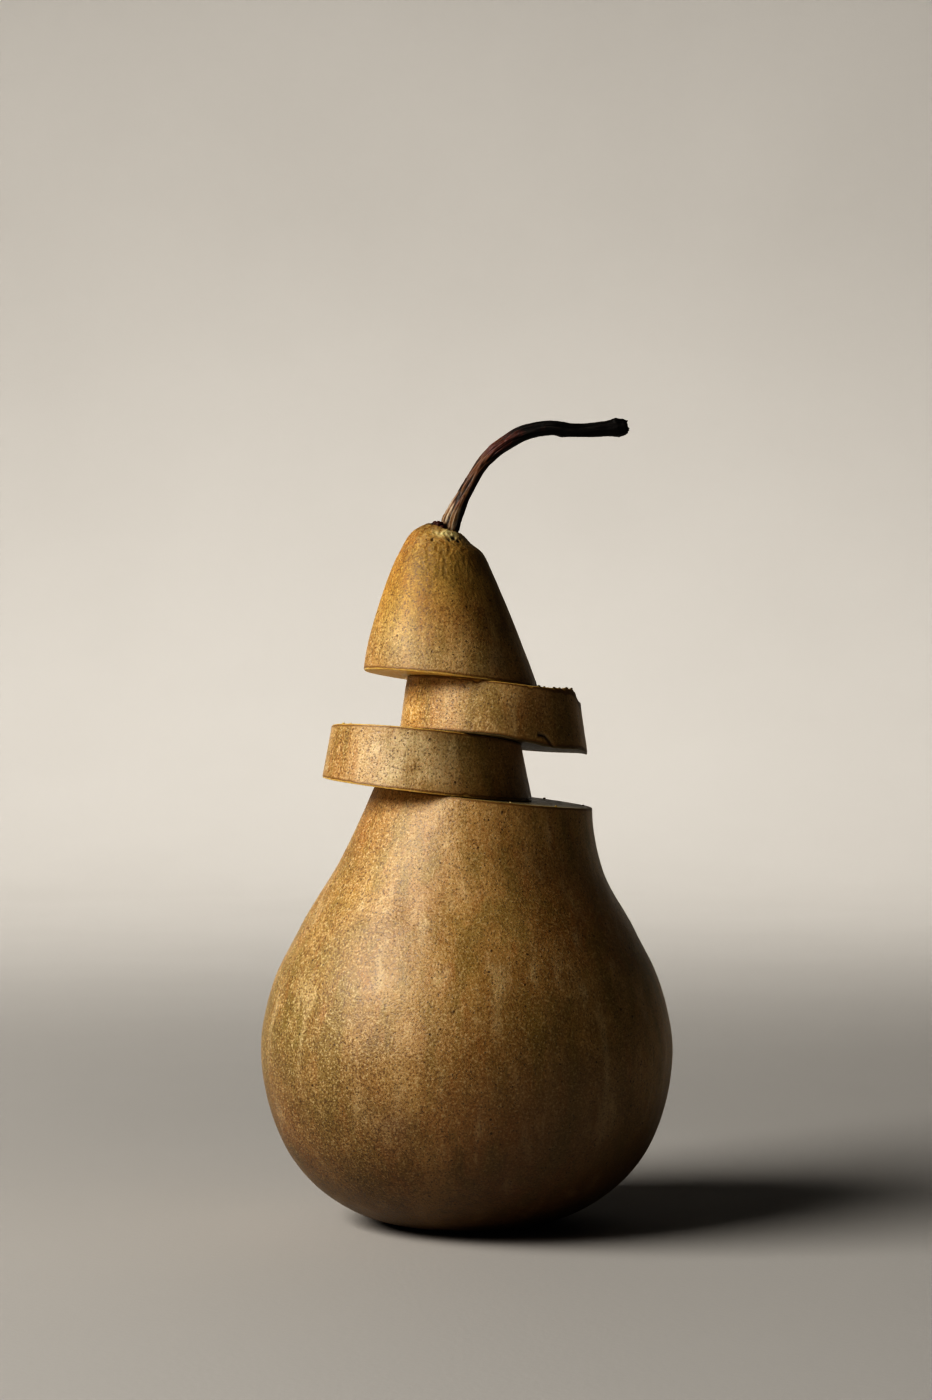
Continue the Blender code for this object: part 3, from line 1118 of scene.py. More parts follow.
@dataclass
class Tip(PearPiece):
    """The tip, with folds, a fleshy rim and a corky knob round the pit that the stem stands in."""

    drift: float = -1.6 * MM
    drift_reach: float = 8.0 * MM
    # The pit stands to +X of the tip's axis, and the skin follows it between these two radii
    pit_offset: float = 0.9 * MM
    pit_outer: float = 6.2 * MM
    pit_inner: float = 2.8 * MM
    fold: float = 0.12 * MM
    folds: float = 2.0
    fold_reach: float = 11 * MM
    fold_inner: float = 3 * MM
    fold_length: float = 6 * MM
    # What surrounds the stem lies above this height of the uncut pear, and stops short of the pit
    crown_from: float = 112 * MM
    clear_inner: float = 1.9 * MM
    clear_reach: float = 0.8 * MM
    wrinkle: float = 0.08 * MM
    wrinkle_across: float = 0.95 * MM
    wrinkle_along: float = 2.0 * MM
    wrinkle_reach: float = 13.5 * MM
    # The wrinkles are strongest in front, and keep this share behind
    front_angle: float = 280.0
    front_width: float = 42.0
    behind_share: float = 0.35
    rim_height: float = 0.08 * MM
    rim_radius: float = 3.1 * MM
    rim_width: float = 0.62 * MM
    knob_height: float = 0.16 * MM
    knob_angle: float = 188.0
    knob_width: float = 26.0
    knob_radius: float = 2.75 * MM
    knob_reach: float = 0.95 * MM
    # The pale lip of flesh in front of the stem
    lip_radius: float = 4.5 * MM
    lip_width: float = 1.15 * MM
    lip_angle: float = 281.0
    lip_reach: float = 25.0
    # The skin grows greener and deeper in colour over this stretch below the stem
    ripe_from: float = 103 * MM
    ripe_reach: float = 20 * MM
    # Small holes beside the stem, darkened inside with painted shade: angle in degrees, radius, width and
    # depth in millimetres
    nicks: Line = (
        (294, 5.3, 0.40, 0.45), (303, 5.8, 0.34, 0.40), (285, 5.9, 0.24, 0.28), (312, 5.2, 0.26, 0.25),
        (256, 6.3, 0.26, 0.25),
        (80, 4.8, 0.35, 0.35), (118, 4.2, 0.25, 0.25), (150, 5.2, 0.28, 0.30),
    )

    def axis(self, height: np.ndarray, radius: np.ndarray) -> tuple[np.ndarray | float, np.ndarray | float]:
        """Where the tip's axis stands at a height, and near the stem where the pit does.

        Args:
            height: The height.
            radius: The radius in the uncut pear.

        Returns:
            Its X and its Y.
        """
        drift = 1 - np.exp(-np.maximum(height - THIRD_CUT.height, 0.0) / self.drift_reach)
        to_pit = ease((self.pit_outer - radius) / (self.pit_outer - self.pit_inner))
        return self.standing.x + self.drift * drift + self.pit_offset * to_pit, self.standing.y

    def knob(self, radius: np.ndarray, angle: np.ndarray) -> np.ndarray:
        """1 on the corky knob beside the stem."""
        return hill(radius, self.knob_radius, self.knob_reach) * near(angle, self.knob_angle, self.knob_width)

    def holes(self, radius: np.ndarray, angle: np.ndarray) -> np.ndarray:
        """How deep the small holes beside the stem are, in millimetres.

        Args:
            radius: Each point's radius in the uncut pear.
            angle: Its angle round the pear.

        Returns:
            The depth at each point.
        """
        depth = np.zeros(np.broadcast(radius, angle).shape)
        for at_angle, at_radius, width, deep in self.nicks:
            turn = turned(angle, at_angle)
            away = np.hypot(turn * radius, radius - at_radius * MM) / (width * MM)
            depth = np.maximum(depth, deep * np.exp(-(away**2)))
        return depth

    def crinkles(self, radius: np.ndarray, height: np.ndarray, angle: np.ndarray) -> np.ndarray:
        """The wrinkles below the stem, from about -1 to 1, which run down the tip.

        Args:
            radius: Each point's radius in the uncut pear.
            height: Its height there.
            angle: Its angle round the pear.

        Returns:
            One value for each point.
        """
        places = round_places(radius, height, angle) / self.wrinkle_across
        places[..., 2] *= self.wrinkle_across / self.wrinkle_along
        ridges = 1 - 2.4 * np.abs(FINE_GRAIN.at(places, 1.0))
        return ridges * ease((self.wrinkle_reach - radius) / (0.6 * self.wrinkle_reach))

    def push(self, radius: np.ndarray, height: np.ndarray, angle: np.ndarray) -> np.ndarray:
        """How far the skin stands out of the outline, with what surrounds the stem.

        Args:
            radius: Each point's radius in the uncut pear.
            height: Its height there.
            angle: Its angle round the pear.

        Returns:
            The distance at each point.
        """
        high = height > self.crown_from
        near_stem = ease((self.fold_reach - radius) / (self.fold_reach - self.fold_inner)) * high
        clear = ease((radius - self.clear_inner) / self.clear_reach)
        round_it = round_places(self.folds, radius / self.fold_length, angle)
        push = super().push(radius, height, angle)
        push += self.fold * GRAIN.at(round_it, 1.0) * near_stem
        in_front = near(angle, self.front_angle, self.front_width)
        front = self.behind_share + (1 - self.behind_share) * in_front
        push += self.wrinkle * front * self.crinkles(radius, height, angle) * high
        uneven = 1 + 0.55 * FINE_GRAIN.at(round_it * 1.6, 1.0)
        push += self.rim_height * uneven * hill(radius, self.rim_radius, self.rim_width) * high
        push += self.knob_height * self.knob(radius, angle) * high
        push -= self.holes(radius, angle) * MM * high
        return push * clear

    def marks(self, radius: np.ndarray, height: np.ndarray, angle: np.ndarray) -> Fields:
        """The skin's named values, with the cork and the pale rim round the stem, painted shade in the pit,
        holes and creases, and painted light and shade on the wrinkles.

        Args:
            radius: Each point's radius in the uncut pear.
            height: Its height there.
            angle: Its angle round the pear.

        Returns:
            The values at each point.
        """
        fields = super().marks(radius, height, angle)
        high = height > self.crown_from
        # Painted shade in the holes and in the pit round the stem; the knob's share is its own dark cork
        holes = np.clip(self.holes(radius, angle) * 3.2, 0.0, 1.0) * high
        pit = ease((2.7 * MM - radius) / (0.7 * MM))
        knob = self.knob(radius, angle) * high
        dark = np.maximum.reduce([fields["dark"], holes, pit, 0.75 * knob])
        drips = 1 + 0.9 * FINE_GRAIN.at(round_places(radius, height, angle), 1.3 * MM)
        lip = hill(radius, self.lip_radius, self.lip_width) * near(angle, self.lip_angle, self.lip_reach)
        pale = np.clip(1.5 * lip * drips, 0.0, 1.0) * (1 - knob) * high
        # For painted highlight on the wrinkles' ridges and painted shade in their grooves
        crinkle = self.crinkles(radius, height, angle) * high
        cork = np.maximum(knob * 1.2, 0.25 * ease((6 * MM - radius) / (3 * MM)) * high)
        fields.update(dark=dark, pale=pale, cork=np.clip(cork, 0, 1), crinkle=crinkle)
        return {**fields, "high": ease((height - self.ripe_from) / self.ripe_reach)}

    def shell(self) -> Shell:
        """The whole tip, from its cut face up over the rim and down into the pit.

        Returns:
            The closed surface.
        """
        shell = Shell(self.sides)
        start = self.lay_bottom(shell)
        self.lay_skin(shell, start, self.outline.last)
        return shell


# A lump: the points of a ring, the rings' tilts, and how uneven it is
LUMP_SIDES = 18
LUMP_TILTS = [math.radians(tilt) for tilt in np.linspace(-82, 82, 12)]
LUMP_UNEVEN = 0.28
LUMP_SWELL = 0.8


def lump(middle: np.ndarray, radius: float, turn: float, flat: float, **values: float) -> Shell:
    """A small uneven lump.

    Args:
        middle: Its middle.
        radius: Its radius.
        turn: A number that makes it unlike the others.
        flat: Its height as a share of its width.
        values: Named values for its finish.

    Returns:
        Its closed surface.
    """
    shell = Shell(LUMP_SIDES)
    angles = ring_angles(LUMP_SIDES)
    for tilt in LUMP_TILTS:
        ways = round_places(math.cos(tilt), math.sin(tilt), angles)
        uneven = 1 + LUMP_UNEVEN * FINE_GRAIN.at(ways + turn, LUMP_SWELL)
        shell.add(middle + ways * uneven[:, None] * radius * (1, 1, flat), Layer.SKIN, **values)
    return shell


@dataclass
class Crumbs:
    """The few crumbs of flesh that lie on the rims."""

    # Each crumb's angle in degrees, distance inside the rim and radius in millimetres
    on_body: Line = ((285, 0.6, 0.22), (314, 0.8, 0.26), (12, 1.3, 0.2), (52, 0.8, 0.25))
    on_lower_slice: Line = ((208, 0.5, 0.26), (216, 0.7, 0.2), (176, 1.4, 0.2), (140, 0.8, 0.24))
    on_upper_slice: Line = (
        (303, 0.3, 0.32), (308, 0.4, 0.22), (316, 0.3, 0.26),
        (322, 0.4, 0.22), (330, 0.3, 0.28), (337, 0.3, 0.22),
    )
    # How much painted shade darkens the crumbs of each piece, and the darker ones lie lower by up to the
    # share sunk
    browned: tuple[float, ...] = (0.3, 0.0, 1.0)
    flat: float = 0.62
    lift: float = 0.7
    sunk: float = 0.5

    def build(
        self, body: Body, lower_slice: PearPiece, upper_slice: UpperSlice, flesh: Material
    ) -> bpy.types.Object:
        """Make the crumbs on the faces that they lie on.

        Args:
            body: The piece whose upper face holds some of them.
            lower_slice: The piece whose upper face holds some more.
            upper_slice: The piece whose ragged rim holds the others.
            flesh: The flesh's material.

        Returns:
            The crumbs as one piece.
        """
        pieces = (body, lower_slice, upper_slice)
        crumbs = (self.on_body, self.on_lower_slice, self.on_upper_slice)
        shells = []
        for piece, places, browned in zip(pieces, crumbs, self.browned):
            for angle, inward, radius in places:
                foot = piece.on_face(piece.upper, Face.UP, angle, inward * MM)
                middle = foot + (0, 0, radius * MM * self.flat * (self.lift - self.sunk * browned))
                shells.append(lump(middle, radius * MM, angle, self.flat, rim=1.5, browned=browned))
        thing = make_piece("flesh_crumbs", shells, [flesh])
        hand_over(thing, Slot.SKIN)
        return thing


@dataclass
class Stem:
    """The woody stem: ribbed bark, a knobbly root and a ragged broken end."""

    # Its middle line in millimetres, from the floor of the pit to the broken end
    line: Line = (
        (-3.5, -2.4, 126.1), (-3.1, -2.5, 127.6), (-2.35, -2.7, 130.3), (-0.95, -3.0, 133.4),
        (0.75, -3.4, 136.4), (2.6, -3.7, 139.3), (4.75, -4.0, 141.6), (7.2, -4.2, 143.4),
        (9.95, -4.3, 145.0), (12.7, -4.3, 145.8), (15.2, -4.2, 146.1), (18.8, -3.9, 145.8),
        (22.8, -3.5, 145.8), (26.3, -3.1, 146.1), (29.3, -2.7, 146.45),
    )
    # Its radius in millimetres, by the share of its length
    radii: Line = (
        (0.0, 1.55), (0.05, 1.72), (0.11, 1.62), (0.2, 1.32), (0.3, 1.2), (0.55, 1.42), (0.62, 1.36),
        (0.8, 1.27), (0.9, 1.38), (0.955, 1.58), (0.985, 1.52), (1.0, 1.25),
    )
    # Swellings: share of the length, angle in degrees, reach along and round, and height in millimetres
    buds: Line = (
        (0.725, 100, 0.9, 0.8, 0.2), (0.07, 250, 1.0, 0.7, 0.3), (0.1, 20, 1.3, 0.8, 0.28),
        (0.43, 300, 1.2, 0.6, 0.14), (0.74, 200, 1.0, 0.7, 0.16), (0.955, 270, 0.8, 0.9, 0.20),
        (0.965, 80, 0.7, 0.8, 0.15), (0.34, 160, 1.1, 0.7, 0.13),
    )
    # Corky knobs between the stem and the skin: their middles and radii in millimetres
    knobs: Line = (
        (-5.15, -3.9, 128.35, 0.80), (-5.95, -3.3, 128.45, 0.75), (-4.6, -4.75, 127.75, 0.65),
        (-5.5, -2.1, 128.3, 0.6), (-5.4, -4.9, 127.9, 0.55), (-2.0, -4.55, 126.6, 0.42),
        (-6.5, -3.6, 128.3, 0.5),
    )
    sides: int = 80
    rings: int = 430
    ribs: int = 3
    rib_share: float = 0.05
    groove: float = 0.17 * MM
    grooves: float = 1.5
    groove_length: float = 9.0 * MM
    groove_width: float = 0.16
    # How far the grooves wind round the stem from its root to its end, in radians
    twist: float = 0.5
    fibre: float = 0.06 * MM
    fibres: float = 4.2
    fibre_length: float = 3.6 * MM
    wart: float = 0.05 * MM
    wart_length: float = 0.55 * MM
    wart_reach: float = 1.4 * MM
    streaks: float = 5.0
    streak_length: float = 3.4 * MM
    # Painted shade on the stem's side away from the lamp starts past this sine of the angle round it
    under_from: float = 0.12
    end_shares: tuple[float, ...] = (0.97, 0.9, 0.8, 0.66, 0.5, 0.33, 0.16)
    end_ragged: float = 0.42 * MM
    end_hollow: float = 0.45 * MM

    def frames(self) -> tuple[np.ndarray, np.ndarray, np.ndarray, np.ndarray]:
        """The middle line's points, directions and two directions across it, ring by ring.

        Returns:
            The points, the directions along, and the two directions across.
        """
        t = np.linspace(0.0, len(self.line) - 1.0, self.rings + 1)
        points = curve_at(self.line, t) * MM
        ways = np.gradient(points, axis=0)
        ways /= np.linalg.norm(ways, axis=1, keepdims=True)
        sides = np.empty_like(points)
        side = np.array((0.0, -1.0, 0.0))
        for k, way in enumerate(ways):
            side = side - way * side.dot(way)
            side /= np.linalg.norm(side)
            sides[k] = side
        return points, ways, sides, np.cross(ways, sides)

    def radius(self, share: np.ndarray) -> np.ndarray:
        """The stem's radius by the share of its length, eased between the named places.

        Args:
            share: The share of the length, from 0 to 1.

        Returns:
            The radius there.
        """
        at = np.array([place for place, _ in self.radii])
        size = np.array([radius for _, radius in self.radii])
        k = np.clip(np.searchsorted(at, share) - 1, 0, len(at) - 2)
        return (size[k] + (size[k + 1] - size[k]) * ease((share - at[k]) / (at[k + 1] - at[k]))) * MM

    def bark(self, angle: np.ndarray, along: np.ndarray, share: np.ndarray) -> tuple[np.ndarray, ...]:
        """The bark's relief.

        Args:
            angle: The angle round the stem.
            along: The distance from the pit's floor.
            share: The same as a share of the stem's length.

        Returns:
            How far the bark stands out, how deep in a groove each point is, from 0 to 1, the streaks that run
            along the bark, from about -1 to 1, and the side darkened with painted shade, from 0 to 1.
        """
        groove_at = round_places(self.grooves, along / self.groove_length, angle + self.twist * share)
        depth = hill(np.abs(GRAIN.at(groove_at, 1.0)), 0.0, self.groove_width)
        fibre = FINE_GRAIN.at(round_places(self.fibres, along / self.fibre_length, angle), 1.0)
        warts = FINE_GRAIN.at(round_places(self.wart_reach, along, angle), self.wart_length)
        rough = 1 + 1.1 * hill(share, 0.05, 0.07) + 0.9 * hill(share, 0.96, 0.04)
        push = rough * (self.fibre * fibre + self.wart * np.maximum(warts, 0.0)) - self.groove * depth
        for at_share, at_angle, reach_along, reach_round, height in self.buds:
            turn = turned(angle, at_angle)
            length = along / np.maximum(share, 1e-6) * (share - at_share)
            push += height * MM * np.exp(-((length / (reach_along * MM)) ** 2) - (turn / reach_round) ** 2)
        streak_at = round_places(self.streaks, along / self.streak_length, angle)
        streak = GRAIN.at(streak_at, 1.0) + 0.5 * FINE_GRAIN.at(streak_at * 2, 1.0)
        # Painted shade: the side of the stem away from the lamp, darkened to near black
        under = ease((np.sin(angle) + 0.35 * streak - self.under_from) / 0.45)
        return push, np.clip(0.75 * depth + 0.35 * np.maximum(-fibre, 0.0), 0.0, 1.0), streak, under

    def shell(self) -> Shell:
        """The stem from the pit's floor to its broken end.

        Returns:
            The closed surface.
        """
        shell = Shell(self.sides)
        points, ways, sides, across = self.frames()
        angle = ring_angles(self.sides)
        steps = np.linalg.norm(np.diff(points, axis=0), axis=1)
        along = np.concatenate([[0.0], np.cumsum(steps)])[:, None]
        share = along / along[-1]
        full = np.zeros((len(points), self.sides))
        push, groove, streak, under = self.bark(angle + full, along + full, share + full)
        reach = self.radius(share) * (1 + self.rib_share * np.sin(self.ribs * angle)) + push
        round_it = sides[:, None] * np.cos(angle)[:, None] + across[:, None] * np.sin(angle)[:, None]
        rings = points[:, None] + round_it * reach[..., None]
        for row, ring in enumerate(rings):
            values = {"groove": groove[row], "streak": streak[row], "under": under[row]}
            shell.add(ring, along=float(share[row, 0]), **values)
        middle = points[-1]
        for end_share in self.end_shares:
            ring = middle + (rings[-1] - middle) * end_share
            ragged = FINE_GRAIN.at(ring, 0.9 * MM) + 0.5 * GRAIN.at(ring, 0.45 * MM)
            ragged *= self.end_ragged * ease(end_share * 1.5)
            sunk = self.end_hollow * ease((1 - end_share) / 0.6)
            ring = ring + ways[-1] * (ragged - sunk)[:, None]
            # The broken end is darker where it is sunk, painted shade in its hollow
            shell.add(ring, along=1.0, groove=np.clip(0.5 + sunk / MM - ragged / MM, 0, 1), broken=1.0)
        return shell

    def build(self, wood: Material) -> bpy.types.Object:
        """Make the stem and let it stand for its solid.

        Args:
            wood: The bark's material.

        Returns:
            The piece.
        """
        shells = [self.shell()]
        for *place, radius in self.knobs:
            shells.append(lump(np.array(place) * MM, radius * MM, 9 * radius, 0.85, groove=0.45, along=0.5))
        thing = make_piece("stem_bark", shells, [wood], sharp=75.0)
        hand_over(thing, Slot.STEM, "stem")
        return thing


@dataclass
class Calyx:
    """The dried sepals under the pear: five curled points round a ring, with withered stamens."""

    sepals: int = 5
    reach: float = 3.9 * MM
    start: float = 0.9 * MM
    width: float = 1.15 * MM
    thickness: float = 0.22 * MM
    top: float = 3.75 * MM
    curl: float = 1.55 * MM
    rings: int = 22
    sides: int = 20
    stamens: int = 13
    stamen_sides: int = 8
    stamen_radius: float = 0.11 * MM
    stamen_length: float = 1.6 * MM
    hub_radius: float = 1.25 * MM
    hub_thickness: float = 0.38 * MM
    hub_sides: int = 48
    seed: int = 5

    def sepal(self, angle: float, bend: float) -> Shell:
        """One sepal.

        Args:
            angle: The way that it points, in radians.
            bend: How much it turns aside.

        Returns:
            Its closed surface.
        """
        shell = Shell(self.sides)
        turn = ring_angles(self.sides)
        for share in np.linspace(0.0, 1.0, self.rings):
            out = self.start + (self.reach - self.start) * share
            aim = angle + bend * share**2
            belly = 0.75 + 0.5 * math.sin(math.pi * min(share + 0.2, 1))
            half = self.width * (1 - share) ** 0.7 * belly + 0.06 * MM
            crumple = 0.18 * MM * math.sin(7 * share + angle * 3)
            height = self.top - self.curl * share**1.6 + crumple * share
            flat = np.cos(turn) * half
            thick = np.sin(turn) * self.thickness * (1 - 0.6 * share) / 2 + 0.55 * flat**2 / self.width
            forward = np.array((math.cos(aim), math.sin(aim), 0.0))
            aside = np.array((-math.sin(aim), math.cos(aim), 0.0))
            ring = forward * out + np.outer(flat, aside) + np.outer(height - thick, (0, 0, 1))
            shell.add(ring, tip=share)
        return shell

    def stamen(self, angle: float, lean: float, length: float) -> Shell:
        """One withered stamen.

        Args:
            angle: Where it stands round the ring, in radians.
            lean: How far it leans out.
            length: How long it is.

        Returns:
            Its closed surface.
        """
        shell = Shell(self.stamen_sides)
        turn = ring_angles(self.stamen_sides)
        foot = np.array((math.cos(angle), math.sin(angle), 0.0)) * 0.7 * MM
        for share in np.linspace(0.0, 1.0, 9):
            out = foot * (1 + lean * share**2)
            middle = out + (0, 0, self.top + 0.15 * MM - length * share)
            radius = self.stamen_radius * (1 - 0.45 * share) + 0.07 * MM * (share > 0.85)
            shell.add(middle + round_places(radius, 0.0, -turn), tip=0.8)
        return shell

    def hub(self) -> Shell:
        """The puckered disc that the sepals grow from.

        Returns:
            The closed surface.
        """
        shell = Shell(self.hub_sides)
        turn = ring_angles(self.hub_sides)
        for share in np.linspace(0.05, 1.0, 8):
            pucker = 1 + 0.12 * np.sin(10 * turn)
            height = self.top - self.hub_thickness * (0.35 + 0.65 * math.sin(math.pi * share)) * pucker
            shell.add(round_places(self.hub_radius * share * pucker, height, turn), tip=0.0)
        for share in (0.9, 0.4):
            shell.add(round_places(self.hub_radius * share, self.top + self.hub_thickness, turn), tip=0.0)
        return shell

    def build(self, husk: Material) -> bpy.types.Object:
        """Make the sepals and let them stand for their solid.

        Args:
            husk: The sepals' material.

        Returns:
            The piece.
        """
        draw = np.random.default_rng(self.seed)
        step = math.tau / self.sepals
        shells = [self.hub()]
        shells += [self.sepal(k * step, draw.uniform(-0.35, 0.35)) for k in range(self.sepals)]
        for k in range(self.stamens):
            lean = draw.uniform(0.1, 1.1)
            length = self.stamen_length * draw.uniform(0.5, 1.0)
            shells.append(self.stamen(k * math.tau / self.stamens, lean, length))
        thing = make_piece("dried_sepals", shells, [husk], sharp=70.0)
        hand_over(thing, Slot.SEPAL, "calyx")
        return thing


class Bench:
    """A material whose nodes are being laid out."""

    def __init__(self, name: str) -> None:
        """Start a material with a shader and the object's own coordinates.

        Args:
            name: The material's name.
        """
        self.material = bpy.data.materials.new(name)
        self.material.use_nodes = True
        self.tree = self.material.node_tree
        self.shader = self.tree.nodes["Principled BSDF"]
        self.where = self.tree.nodes.new("ShaderNodeTexCoord").outputs["Object"]

    def link(self, start: Socket, end: Socket) -> None:
        """Join two sockets."""
        self.tree.links.new(start, end)

    def feed(self, socket: Socket, value: Socket | float) -> None:
        """Join a socket to another, or set it to a number.

        Args:
            socket: The socket.
            value: What it takes.
        """
        if isinstance(value, bpy.types.NodeSocket):
            self.link(value, socket)
        else:
            socket.default_value = value

    def stretched(self, x: float, y: float, z: float) -> Socket:
        """The object's coordinates, scaled along each axis.

        Args:
            x: The scale along X.
            y: The scale along Y.
            z: The scale along Z.

        Returns:
            The scaled coordinates.
        """
        node = self.tree.nodes.new("ShaderNodeMapping")
        node.inputs["Scale"].default_value = (x, y, z)
        self.link(self.where, node.inputs["Vector"])
        return node.outputs["Vector"]

    def noise(
        self,
        length: float,
        layers: float = 2.0,
        where: Socket | None = None,
        keep: float = 0.5,
        bend: float = 0.0,
    ) -> Socket:
        """Soft random values from 0 to 1.

        Args:
            length: The size of a swell.
            layers: How many finer layers are added.
            where: The coordinates to read, if not the object's own.
            keep: How much of its strength each finer layer keeps.
            bend: How much the pattern is bent by itself.

        Returns:
            The values.
        """
        node = self.tree.nodes.new("ShaderNodeTexNoise")
        node.inputs["Scale"].default_value = 1 / length
        node.inputs["Detail"].default_value = layers
        node.inputs["Roughness"].default_value = keep
        node.inputs["Distortion"].default_value = bend
        self.link(where or self.where, node.inputs["Vector"])
        return node.outputs[0]

    def cells(self, length: float, where: Socket | None = None) -> tuple[Socket, Socket]:
        """Distances from scattered points, as a share of a cell, and a random value for each cell.

        Args:
            length: How far apart the points are.
            where: The coordinates to read, if not the object's own.

        Returns:
            The distances and the random values.
        """
        node = self.tree.nodes.new("ShaderNodeTexVoronoi")
        node.inputs["Scale"].default_value = 1 / length
        self.link(where or self.where, node.inputs["Vector"])
        split = self.tree.nodes.new("ShaderNodeSeparateColor")
        self.link(node.outputs["Color"], split.inputs["Color"])
        return node.outputs["Distance"], split.outputs[0]

    def value(self, name: str) -> Socket:
        """A named value that the mesh carries.

        Args:
            name: The value's name.

        Returns:
            The value.
        """
        node = self.tree.nodes.new("ShaderNodeAttribute")
        node.attribute_name = name
        return node.outputs["Fac"]

    def fade(self, value: Socket, low: float, high: float, start: float = 0.0, end: float = 1.0) -> Socket:
        """A smooth change from start to end as a value goes from low to high.

        Args:
            value: What is read.
            low: Where the change starts.
            high: Where it ends.
            start: The result up to low.
            end: The result from high on.

        Returns:
            The result.
        """
        node = self.tree.nodes.new("ShaderNodeMapRange")
        node.interpolation_type = "SMOOTHSTEP"
        self.link(value, node.inputs["Value"])
        limits = (("From Min", low), ("From Max", high), ("To Min", start), ("To Max", end))
        for key, number in limits:
            node.inputs[key].default_value = number
        return node.outputs["Result"]

    def sum(self, kind: str, first: Socket | float, second: Socket | float) -> Socket:
        """The result of an arithmetic operation, named as Blender names it.

        Args:
            kind: The operation's name.
            first: The first number.
            second: The second number.

        Returns:
            The result.
        """
        node = self.tree.nodes.new("ShaderNodeMath")
        node.operation = kind
        self.feed(node.inputs[0], first)
        self.feed(node.inputs[1], second)
        return node.outputs[0]

    def times(self, first: Socket | float, second: Socket | float) -> Socket:
        """A product."""
        return self.sum("MULTIPLY", first, second)

    def mix(
        self,
        share: Socket | float,
        first: Socket | Colour,
        second: Socket | Colour,
        how: Mixing = Mixing.COVER,
    ) -> Socket:
        """One colour over another.

        Args:
            share: How much of the second shows, from 0 to 1.
            first: The colour underneath.
            second: The colour on top.
            how: How it is laid on.

        Returns:
            The mixed colour.
        """
        node = self.tree.nodes.new("ShaderNodeMix")
        node.data_type = "RGBA"
        node.blend_type = how.value
        node.clamp_factor = True
        self.feed(node.inputs[0], share)
        for socket, colour in ((node.inputs[6], first), (node.inputs[7], second)):
            if isinstance(colour, bpy.types.NodeSocket):
                self.link(colour, socket)
            else:
                socket.default_value = (*colour, 1.0)
        return node.outputs[2]

    def dots(self, length: float, least: float, most: float, where: Socket | None = None) -> Socket:
        """Scattered dots of random sizes, 1 in their middles.

        Args:
            length: How far apart they are.
            least: The smallest radius, as a share of that.
            most: The largest radius.
            where: The coordinates to read, if not the object's own.

        Returns:
            The dots, from 0 to 1.
        """
        distance, chance = self.cells(length, where)
        size = self.fade(chance, 0.0, 1.0, least, most)
        return self.fade(self.sum("DIVIDE", distance, size), 0.45, 1.0, 1.0, 0.0)

    def relief(self, layers: Sequence[tuple[Socket, float]]) -> None:
        """Give the shader a bump.

        Args:
            layers: Values, each with its depth in millimetres.
        """
        total: Socket | float = 0.0
        for value, depth in layers:
            total = self.sum("ADD", total, self.times(value, depth))
        bump = self.tree.nodes.new("ShaderNodeBump")
        bump.inputs["Strength"].default_value = 1.0
        bump.inputs["Distance"].default_value = MM
        self.link(total, bump.inputs["Height"])
        self.link(bump.outputs["Normal"], self.shader.inputs["Normal"])

    def finish(
        self, colour: Socket, roughness: Socket, constants: dict[str, float | Colour]
    ) -> Material:
        """Join the colour and roughness to the shader and set its constant values.

        Args:
            colour: The base colour.
            roughness: The roughness.
            constants: The shader's other values by name.

        Returns:
            The material.
        """
        self.link(colour, self.shader.inputs["Base Color"])
        self.link(roughness, self.shader.inputs["Roughness"])
        for name, value in constants.items():
            self.shader.inputs[name].default_value = value
        return self.material


